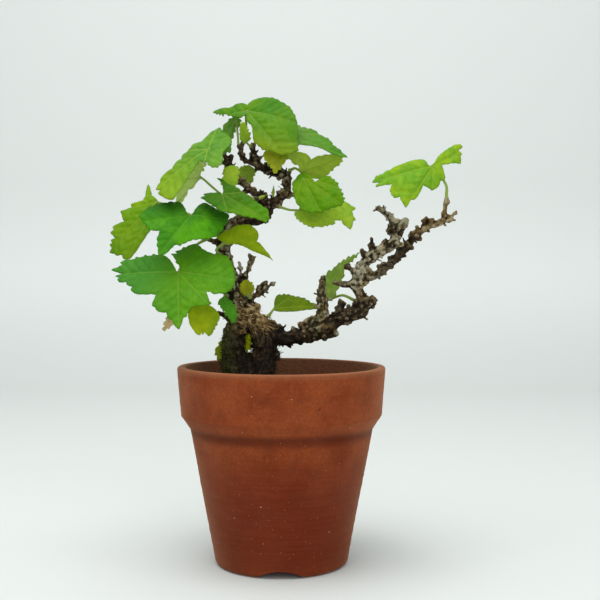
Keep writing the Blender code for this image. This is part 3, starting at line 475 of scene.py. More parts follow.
def make_terracotta():
    """Fired clay with throwing lines, salts, a painted shadow line under the collar and a damp, algae-dark inside."""
    material, tree, shader, _ = new_material("terracotta", Specular_IOR_Level=0.12, Sheen_Weight=0.24,
                                             Sheen_Roughness=0.45, Sheen_Tint=(0.95, 0.55, 0.3, 1.0))
    coords = add_node(tree, "ShaderNodeTexCoord").outputs["Object"]
    axis = add_node(tree, "ShaderNodeVectorMath", {0: coords, 1: tuple(POT_PLACE * MM)},
                    operation="SUBTRACT").outputs[0]
    z = add_node(tree, "ShaderNodeSeparateXYZ", {0: axis}).outputs[2]
    flat = add_node(tree, "ShaderNodeVectorMath", {0: axis, 1: (1.0, 1.0, 0.0)}, operation="MULTIPLY")
    radius = add_node(tree, "ShaderNodeVectorMath", {0: flat.outputs[0]}, operation="LENGTH").outputs["Value"]
    clouds = use_group(tree, patches, {"Vector": axis, "Size": 24.0, "Low": 0.36, "High": 0.66})
    stains = use_group(tree, patches, {"Vector": axis, "Size": 8.0, "Low": 0.45, "High": 0.75})
    grit = use_group(tree, patches, {"Vector": axis, "Size": 0.9, "Low": 0.3, "High": 0.7})
    colour = blend_colours(tree, clouds.outputs[0], srgb(146, 68, 30), srgb(122, 48, 18))
    damp = maths(tree, "MULTIPLY", height_mask(tree, z, 62, 30), height_mask(tree, z, -8, 8))
    colour = blend_colours(tree, maths(tree, "MULTIPLY", damp, 0.8), colour, srgb(98, 28, 5))
    squash = add_node(tree, "ShaderNodeVectorMath", {0: axis, 1: (0.12, 0.12, 3.2)}, operation="MULTIPLY")
    lines = use_group(tree, patches, {"Vector": squash.outputs[0], "Size": 3.4, "Low": 0.3, "High": 0.72})
    colour = blend_colours(tree, maths(tree, "MULTIPLY", lines.outputs[0], 0.1), colour, srgb(156, 92, 62))
    colour = blend_colours(tree, maths(tree, "MULTIPLY", grit.outputs[0], 0.42), colour, srgb(92, 36, 16))
    colour = blend_colours(tree, maths(tree, "MULTIPLY", stains.outputs[0], 0.3), colour, srgb(84, 38, 22))
    lip = height_mask(tree, z, RIM_TOP - 3.0, RIM_TOP - 0.3)
    colour = blend_colours(tree, maths(tree, "MULTIPLY", lip, 0.42), colour, srgb(136, 96, 66))
    # Painted shadow: a dark band on the wall just under the collar, where the collar's overhang shades it.
    collar_shadow = maths(tree, "MULTIPLY", height_mask(tree, z, 55.0, 59.0), height_mask(tree, z, 62.6, 60.0))
    colour = blend_colours(tree, maths(tree, "MULTIPLY", collar_shadow, 0.62), colour, srgb(62, 14, 3))
    salts = use_group(tree, specks, {"Vector": axis, "Pitch": 4.0, "Radius": 0.34, "Share": 0.24})
    dust = use_group(tree, specks, {"Vector": axis, "Pitch": 1.7, "Radius": 0.22, "Share": 0.3})
    colour = blend_colours(tree, maths(tree, "MULTIPLY", salts.outputs[0], 0.55), colour, srgb(206, 168, 146))
    colour = blend_colours(tree, maths(tree, "MULTIPLY", dust.outputs[0], 0.5), colour, srgb(190, 132, 104))
    pits = use_group(tree, specks, {"Vector": axis, "Pitch": 7.3, "Radius": 0.6, "Share": 0.2})
    colour = blend_colours(tree, maths(tree, "MULTIPLY", pits.outputs[0], 0.7), colour, srgb(48, 20, 12))
    low_wall = add_node(tree, "ShaderNodeMapRange", clamp=False, inputs={
        "Value": z, "From Max": WALL_TOP * MM, "To Min": (FOOT_RADIUS - WALL / 2) * MM,
        "To Max": (WALL_TOP_RADIUS - WALL / 2) * MM})
    rim_wall = add_node(tree, "ShaderNodeMapRange", clamp=False, inputs={
        "Value": z, "From Min": WALL_TOP * MM, "From Max": RIM_TOP * MM,
        "To Min": (WALL_TOP_RADIUS - WALL / 2) * MM, "To Max": (RIM_RADIUS - LIP_WIDTH / 2) * MM})
    middle = add_node(tree, "ShaderNodeMath", {0: low_wall.outputs[0], 1: rim_wall.outputs[0]}, operation="MAXIMUM")
    depth = maths(tree, "SUBTRACT", radius, middle.outputs[0])
    inner = maths(tree, "MULTIPLY", ramp_between(tree, depth, -0.4 * MM, -1.2 * MM), height_mask(tree, z, 5, 9))
    algae = blend_colours(tree, clouds.outputs[0], srgb(102, 60, 40), srgb(98, 72, 48))
    algae = blend_colours(tree, grit.outputs[0], algae, srgb(74, 47, 31))
    colour = blend_colours(tree, maths(tree, "MULTIPLY", inner, 0.9), colour, algae)
    tree.links.new(colour, shader.inputs["Base Color"])
    rough = add_node(tree, "ShaderNodeMapRange", {"Value": clouds.outputs[0], "To Min": 0.72, "To Max": 0.9})
    tree.links.new(rough.outputs[0], shader.inputs["Roughness"])
    sand = add_node(tree, "ShaderNodeTexNoise", {"Vector": axis, "Scale": 2600.0, "Detail": 3.0})
    height = maths(tree, "ADD", maths(tree, "MULTIPLY", lines.outputs[0], 0.14), sand.outputs["Fac"])
    height = maths(tree, "SUBTRACT", height, maths(tree, "MULTIPLY", pits.outputs[0], 2.0))
    bump = add_node(tree, "ShaderNodeBump", {"Strength": 0.4, "Distance": 0.14 * MM, "Height": height})
    tree.links.new(bump.outputs[0], shader.inputs["Normal"])
    return material


dress(pot, make_terracotta(), "terracotta", "pot")

# %% [markdown]
# ## Soil and drain net
#
# Below the rim lies bonsai soil: hard baked grains two or three millimetres across, on darker fines.
# A bed is built in the CAD soil's place, and the grains are one rough pebble modelled once and copied
# over it by a seeded rule, each copy turned and scaled its own way.

# %% Soil bed
SOIL_TOP = 76.0
SOIL_SIDES = 96
SOIL_RINGS = [3.0 * k for k in range(12, 0, -1)]
GRAIN_SEED = 5
GRAINS = 900
ROOT = Vector((-15.0, 2.0))
ROOT_HOLE = 11.2


def soil_outline():
    """The bed's outline from its middle below, up the pot's wall and in over the top."""
    wall = [(cavity_radius(z) - 0.45, z) for z in (12.0, 30.0, 46.0, WALL_TOP, 68.0, SOIL_TOP)]
    return [(0.5, FLOOR + 2.2), (cavity_radius(FLOOR) - 4.0, FLOOR + 2.2)] + wall + [
        (r, SOIL_TOP) for r in SOIL_RINGS]


soil = raise_rings("soil_bed", soil_outline(), SOIL_SIDES, closed=False)
bed = points_of(soil.data)
on_top = bed[:, 2] > SOIL_TOP - 0.1
bed[on_top, 2] += 0.8 * noise_at(bed[on_top], 5.0, 1) + 0.4 * noise_at(bed[on_top], 1.6, 2) - 0.6
set_points(soil.data, bed)
make_active(soil)
bpy.ops.object.mode_set(mode="EDIT")
bpy.ops.mesh.select_all(action="DESELECT")
bpy.ops.mesh.select_non_manifold()
bpy.ops.mesh.edge_face_add()
bpy.ops.mesh.select_all(action="SELECT")
bpy.ops.mesh.normals_make_consistent(inside=False)
bpy.ops.object.mode_set(mode="OBJECT")

# %% Soil grains


def make_pebble():
    """One rough grain, about 1 mm in radius, as points and faces."""
    start_clean()
    bpy.ops.mesh.primitive_ico_sphere_add(subdivisions=2, radius=1.0)
    thing = bpy.context.object
    points = points_of(thing.data)
    points *= (1.0 + 0.28 * noise_at(points, 0.7, 3))[:, None]
    faces = [tuple(face.vertices) for face in thing.data.polygons]
    bpy.data.objects.remove(thing)
    return points, faces


def scatter_grains(pebble, count, seed):
    """Copy the pebble over the bed, clear of the rootstock, as one mesh."""
    chance = random.Random(seed)
    shape, faces = pebble
    points, all_faces = [], []
    reach = cavity_radius(SOIL_TOP) - 1.6
    while len(points) < count:
        r, a = reach * math.sqrt(chance.random()), chance.uniform(0, math.tau)
        place = Vector((r * math.cos(a), r * math.sin(a)))
        size = chance.uniform(0.7, 1.5)
        turn = Matrix.Rotation(chance.uniform(0, math.tau), 3, Vector(
            (chance.uniform(-1, 1), chance.uniform(-1, 1), chance.uniform(-1, 1))).normalized())
        squeeze = np.array([chance.uniform(0.7, 1.1), chance.uniform(0.7, 1.1), chance.uniform(0.6, 0.9)])
        lift = chance.uniform(-0.5, 0.5)
        if (place - ROOT).length < ROOT_HOLE + size:
            continue
        turned = (shape * squeeze * size) @ np.array(turn).T
        all_faces += [tuple(k + len(points) * len(shape) for k in face) for face in faces]
        points.append(turned + np.array([place.x, place.y, SOIL_TOP + lift]))
    mesh = bpy.data.meshes.new("soil_grains")
    mesh.from_pydata(np.concatenate(points).tolist(), [], all_faces)
    mesh.shade_smooth()
    thing = bpy.data.objects.new("soil_grains", mesh)
    bpy.context.scene.collection.objects.link(thing)
    return thing


grains = scatter_grains(make_pebble(), GRAINS, GRAIN_SEED)
settle(soil)
settle(grains)

# %% Soil and net materials


def make_soil(name, dark, pale):
    """Rough baked soil: each grain mixes a dark and a pale brown its own way."""
    material, tree, shader, _ = new_material(name, Roughness=0.95, Specular_IOR_Level=0.2)
    coords = add_node(tree, "ShaderNodeTexCoord").outputs["Object"]
    cells = add_node(tree, "ShaderNodeTexVoronoi", {"Vector": coords, "Scale": 330.0})
    tone = add_node(tree, "ShaderNodeSeparateColor", {0: cells.outputs["Color"]})
    cloud = use_group(tree, patches, {"Vector": coords, "Size": 1.2, "Low": 0.3, "High": 0.7})
    share = maths(tree, "MULTIPLY", maths(tree, "ADD", tone.outputs[0], cloud.outputs[0]), 0.5)
    tree.links.new(blend_colours(tree, share, dark, pale), shader.inputs["Base Color"])
    fine = add_node(tree, "ShaderNodeTexNoise", {"Vector": coords, "Scale": 3000.0, "Detail": 3.0})
    bump = add_node(tree, "ShaderNodeBump",
                    {"Strength": 0.6, "Distance": 0.2 * MM, "Height": fine.outputs["Fac"]})
    tree.links.new(bump.outputs[0], shader.inputs["Normal"])
    return material


def make_net():
    """Black plastic net with a moulded, slightly uneven face."""
    material, tree, shader, _ = new_material("net", Base_Color=srgb(22, 22, 23), Specular_IOR_Level=0.45)
    coords = add_node(tree, "ShaderNodeTexCoord").outputs["Object"]
    cloud = use_group(tree, patches, {"Vector": coords, "Size": 2.0, "Low": 0.3, "High": 0.7})
    rough = add_node(tree, "ShaderNodeMapRange", {"Value": cloud.outputs[0], "To Min": 0.4, "To Max": 0.6})
    tree.links.new(rough.outputs[0], shader.inputs["Roughness"])
    return material


dress(soil, make_soil("soil_fines", srgb(40, 28, 20), srgb(84, 62, 44)), "soil", "soil")
dress(grains, make_soil("soil_grains", srgb(66, 46, 32), srgb(134, 102, 70)), "soil")
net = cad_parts["drain_net"]
net.data.materials.clear()
net.data.materials.append(make_net())

# %% [markdown]
# ## Leaves
#
# A mulberry leaf is a thin blade, lobed and saw-toothed, with three to five main veins that fan out
# from its stalk and side veins that run to the teeth. The tissue between the veins swells a little.
# A modelled plane with an image of a leaf would be the usual shortcut. Here every blade is a mesh with
# relief on both faces. Its outline is a table of lobe tips and notches, the same one as the CAD part
# has, so the blade stays in the space of its solid. Edit-mode operators can't lay a fine mesh inside
# an outline with two hundred teeth, so a triangulation of the outline and a grid of points does it.

# %% The leaf table
# A leaf: where its stalk leaves the wood (root is inside the twig, foot is the end of its cushion), one
# bend of the stalk, then the foot and the tip of the blade. Roll turns the upper face about the midrib
# from facing the viewer. Dome and fold shape the blade. Edge lists its lobe tips and notches as
# (angle from the midrib in degrees, reach in mm).
Leaf = namedtuple("Leaf", "root foot bend base tip roll dome fold tint edge")
LEAVES = {
    "leaf_low_left": Leaf(
        (-30, 3.4, 142.2), (-33, -0.2, 143.4), (-38.5, -2.2, 139.6), (-44.3, -14, 128.6), (-42.3, -28, 104.7),
        0, 0.10, -0.05, "green",
        ((142, 3), (147, 11.5), (126, 16), (114, 20.5), (98, 29), (70, 21.5), (42, 14), (37, 18),
         (16, 20.5), (0, 27.5), (-11, 21), (-36, 21), (-49, 15.5), (-55, 20.5), (-65, 25), (-78, 25.5),
         (-95, 24), (-118, 19), (-140, 15.5), (-175, 11.5), (-196, 9), (-190, 4))),
    "leaf_mid_left": Leaf(
        (-25.5, 7, 146.5), (-28.4, 3.4, 151), (-33, -3, 153.6), (-39.1, -10, 152.9), (-51.1, -24, 135.6),
        10, 0.12, -0.06, "deep",
        ((119, 2), (130, 5.5), (108, 8.5), (87, 13), (72, 18), (47, 22.5), (38, 21.5), (26, 17),
         (12, 20), (0, 25), (-5, 16.5), (-30, 13), (-72, 14), (-100, 14.5), (-126, 16.5), (-153, 12),
         (-173, 9.5), (-182, 5), (-190, 2))),
    "leaf_far_left": Leaf(
        (-25, 7.5, 146), (-28.8, 10, 148.6), (-42, 15, 155), (-56.2, 10, 160.5), (-67.4, -2, 134.4),
        35, 0.08, 0.10, "lime",
        ((150, 6), (125, 12), (107, 9), (80, 15), (68, 19), (46, 18), (48, 24), (32, 25.5),
         (24, 31.5), (8, 29), (0, 31), (-8, 21.5), (-18, 14), (-43, 9), (-90, 7), (-140, 6), (-175, 3))),
    "leaf_upper_left": Leaf(
        (-24.6, 9, 179.4), (-26.6, 6.6, 182.2), (-29, 4.4, 184), (-32.8, 3, 183.5), (-54.5, -8, 164.3),
        35, 0.10, 0.05, "lime",
        ((146, 5.5), (154, 12.5), (147, 19.5), (83, 9.5), (19, 18), (10, 25.5), (0, 31),
         (-18, 30), (-18, 21.5), (-20, 8.5), (-41, 10), (-66, 12), (-88, 9), (-109, 7))),
    "leaf_under_left": Leaf(
        (-15, 6.2, 165.6), (-18.4, 7, 162.6), (-26.6, 9.4, 163.4), (-37.2, 11, 171.9), (-47.5, 6, 159.3),
        140, 0.08, 0.10, "lime",
        ((165, 2), (60, 3), (17, 4), (1, 8.5), (5, 14.5), (0, 17), (-28, 9), (-72, 5),
         (-125, 6.5), (-160, 6.5))),
    "leaf_centre": Leaf(
        (-9, 6, 161.5), (-13, 2.2, 161.4), (-19, -3, 163.6), (-25.9, -7, 162.6), (-5.5, -16, 149.9),
        -25, 0.10, 0.05, "bright",
        ((203, 2), (133, 8.5), (83, 7.5), (29, 10.5), (6, 21.5), (0, 25.5), (-5, 23.5), (-23, 15.5),
         (-57, 10), (-123, 7.5), (-130, 4.5))),
    "leaf_centre_low": Leaf(
        (-26.6, 4, 136.4), (-27.6, 0.6, 136.4), (-28.6, -3.2, 138.6), (-25.3, -4, 141.4),
        (-3.9, -12, 133.8),
        -10, 0.12, 0.0, "olive",
        ((130, 2.5), (60, 3), (-4, 14), (0, 24), (-16, 17.5), (-24, 14.5), (-44, 16), (-60, 14),
         (-72, 11), (-102, 8.5), (-145, 7.5), (-152, 4))),
    "leaf_top": Leaf(
        (-18.4, 9.5, 184.6), (-17.4, 9.2, 188), (-16.2, 9.6, 195), (-16.1, 6, 200.9), (6.8, -6, 193.2),
        -25, 0.22, 0.0, "green",
        ((207, 6), (172, 12.5), (162, 15.5), (139, 8), (95, 5.5), (56, 8), (45, 14.5), (47, 21.5),
         (41, 27.5), (30, 30), (20, 25), (8, 23.5), (0, 27), (-13, 23), (-31, 17.5), (-56, 11.5),
         (-76, 6), (-120, 4))),
    "leaf_top_right": Leaf(
        (-1.5, 6.2, 173.4), (-0.8, 3.6, 177), (1.4, 2.4, 182.6), (-0.2, -1, 188.7), (28.3, -14, 177.9),
        -50, 0.10, 0.0, "green",
        ((150, 3), (80, 4), (32, 6), (14, 11.5), (2, 20), (0, 33), (-10, 28), (-27, 21), (-75, 13),
         (-118, 7.5), (-160, 3))),
    "leaf_hanging": Leaf(
        (-5.4, 7.2, 174), (-5.4, 4.2, 176.8), (-4, 0.5, 182.5), (-1.1, -3, 183.2), (-2.5, -6, 171.4),
        15, 0.12, 0.05, "ochre",
        ((160, 3), (97, 3.5), (76, 6.5), (52, 8), (21, 8.5), (0, 12), (-16, 8.5), (-60, 6.5),
         (-86, 5), (-108, 3), (-160, 2.5))),
    "leaf_right_pale": Leaf(
        (2.2, 4.4, 171), (3.9, 2, 174), (6, 0, 174.6), (9, -2, 173.2), (26, -8, 177.7),
        -140, 0.12, 0.05, "lime",
        ((85, 3), (100, 9.5), (96, 11.5), (66, 9.5), (31, 7.5), (22, 11), (14, 16), (2, 19.5),
         (-16, 14.5), (-37, 12), (-58, 7), (-124, 5), (-170, 3.5))),
    "leaf_right_front": Leaf(
        (7.6, 3.1, 162.7), (9.6, 0.4, 163.8), (9.8, -4, 167), (9.5, -8, 169.5), (17.1, -18, 153.6),
        10, 0.12, 0.12, "bright",
        ((143, 3), (86, 5.5), (44, 10.5), (21, 16.5), (0, 20.5), (-23, 24), (-33, 21.5), (-43, 16.5),
         (-57, 11), (-64, 6), (-90, 3), (-150, 2.5))),
    "leaf_right_low": Leaf(
        (-3.5, 5.6, 159.6), (-0.6, 2.4, 157.6), (3.6, 0, 156.2), (7.7, -4, 155.9), (23.4, -9, 150.3),
        -30, 0.12, 0.0, "lime",
        ((158, 2), (78, 4), (36, 11.5), (6, 17.5), (3, 20.5), (1, 25.5), (-23, 25), (-33, 21.5),
         (-53, 15.5), (-67, 9.5), (-85, 4.5), (-150, 2.5))),
    "leaf_top_back": Leaf(
        (-18.3, 9.6, 184.2), (-19.8, 12.4, 186.2), (-20.4, 15.5, 192), (-21.1, 15.4, 198.3),
        (-27.7, 17, 183.5),
        180, 0.10, 0.05, "deep",
        ((140, 2), (90, 2.5), (23, 3.5), (8, 9), (15, 13), (2, 17.5), (-9, 13), (-35, 7), (-58, 3.5),
         (-150, 2.5))),
    "leaf_young_top": Leaf(
        (-13.1, 8, 184), (-14, 5.2, 185), (-15, 2.6, 185.6), (-15.9, 0, 186.9), (-17.8, -7.5, 195),
        35, 0.05, 0.25, "lime",
        ((150, 1.5), (70, 2.5), (33, 4), (13, 7.5), (0, 9.5), (-13, 8), (-35, 4.5), (-75, 2),
         (-150, 1.5))),
    "leaf_inner_right": Leaf(
        (-9.5, 8, 175.6), (-11.2, 11, 175.6), (-12.6, 12.4, 175.2), (-14.1, 12.9, 174.3),
        (-19.2, 14.4, 168.5),
        170, 0.10, 0.05, "lime",
        ((150, 2.5), (67, 2.5), (40, 5), (2, 8), (-36, 5.5), (-74, 5.5), (-106, 3.5), (-150, 2.5))),
    "leaf_inner_left": Leaf(
        (-23.4, 8.4, 175.6), (-22.8, 5.4, 175.6), (-22.6, 4.4, 175.2), (-22.7, 3, 174.3),
        (-24.2, -1, 164.6),
        0, 0.10, 0.08, "lime",
        ((120, 2.5), (36, 4.5), (17, 9), (0, 10.5), (-17, 10), (-42, 6), (-100, 3.5), (-160, 2.5))),
    "leaf_stump_left": Leaf(
        (-27, 2.2, 110), (-30.4, 0.8, 110.6), (-32.6, -2.6, 112), (-33.5, -6, 112.4), (-35.2, -11, 101.7),
        0, 0.12, 0.05, "olive",
        ((160, 3), (116, 5), (88, 7), (47, 8.5), (4, 12), (-16, 13), (-44, 10), (-61, 7.5), (-110, 2.5),
         (-160, 2))),
    "leaf_stump_front": Leaf(
        (-22, 2.6, 117), (-24.3, -1.4, 118.2), (-25.2, -4, 118), (-25.6, -6, 115.9),
        (-20.5, -10, 106.4),
        15, 0.10, 0.10, "green",
        ((150, 2), (63, 2.5), (17, 5), (0, 11.5), (-16, 10), (-36, 7), (-66, 3), (-140, 2))),
    "leaf_stump_young": Leaf(
        (-13.2, 2.1, 117), (-14.2, -0.6, 117.6), (-14.5, -1.2, 118.4), (-14.9, -1.4, 119.4),
        (-15.3, -3.4, 124.7),
        0, 0.10, 0.15, "olive",
        ((150, 1.5), (94, 2), (52, 4), (18, 5.5), (-4, 6), (-29, 5.5), (-61, 3.5), (-101, 2),
         (-160, 1.5))),
    "leaf_stump_right": Leaf(
        (-9, 0.5, 107.5), (-5.6, -3.6, 109.4), (-4.2, -4.4, 111.2), (-3.3, -3.6, 112.5), (15.4, -3.4, 113.3),
        -40, 0.08, 0.10, "olive",
        ((150, 1.5), (48, 1.5), (10, 10.5), (0, 19.5), (-19, 13), (-45, 10.5), (-80, 7.5), (-97, 3.5),
         (-150, 1.5))),
    "leaf_branch_middle": Leaf(
        (35.4, -11, 115.6), (32, -8.6, 116.2), (27, -3, 118.4), (21.6, 2, 117), (35, -3, 137),
        -45, 0.08, 0.10, "green",
        ((158, 1.5), (60, 2.5), (14, 4.5), (-5, 13), (0, 24.5), (-28, 14.5), (-71, 10), (-136, 4))),
    "leaf_branch_tip": Leaf(
        (70.1, -18.8, 157.4), (70.4, -19, 160.2), (70, -18.6, 166), (64.7, -18, 173.2), (52, -30, 155.3),
        0, 0.12, -0.05, "bright",
        ((59, 2.5), (93, 5), (58, 12.5), (46, 19.5), (36, 29.5), (28, 22.5), (17, 25.5), (0, 25),
         (-7, 15.5), (-9, 11), (-27, 11.5), (-50, 8.5), (-85, 6.5), (-135, 4), (-141, 11),
         (-141, 15.5), (-159, 21), (-171, 16), (-178, 10), (-195, 4))),
    "leaf_stump_back": Leaf(
        (-13, 7, 106), (-13.2, 12.8, 106.4), (-14.4, 16, 105.4), (-16.3, 17, 102.1), (-29.9, 20, 88),
        160, 0.10, 0.08, "olive",
        ((150, 2), (98, 3), (60, 8), (39, 13), (1, 20), (-12, 18), (-32, 10), (-66, 3.5), (-150, 2))),
    "leaf_withered": Leaf(
        (-22.8, 5, 124), (-27.4, 2.2, 123.4), (-36, -6.4, 119.6), (-45.4, -12, 112.2),
        (-50.5, -16, 103.3),
        0, 0.10, 0.25, "dry",
        ((114, 2), (21, 4.5), (0, 11), (-14, 7.5), (-74, 2.5), (-150, 1.5))),
}

# %% [markdown]
# The teeth matter most for the likeness. The leaves that can be seen well have their own outline here,
# tooth by tooth, in millimetres on the flat blade: x to the side of the midrib and y along it. The
# others get saw teeth by rule, leaning to the lobe's tip.

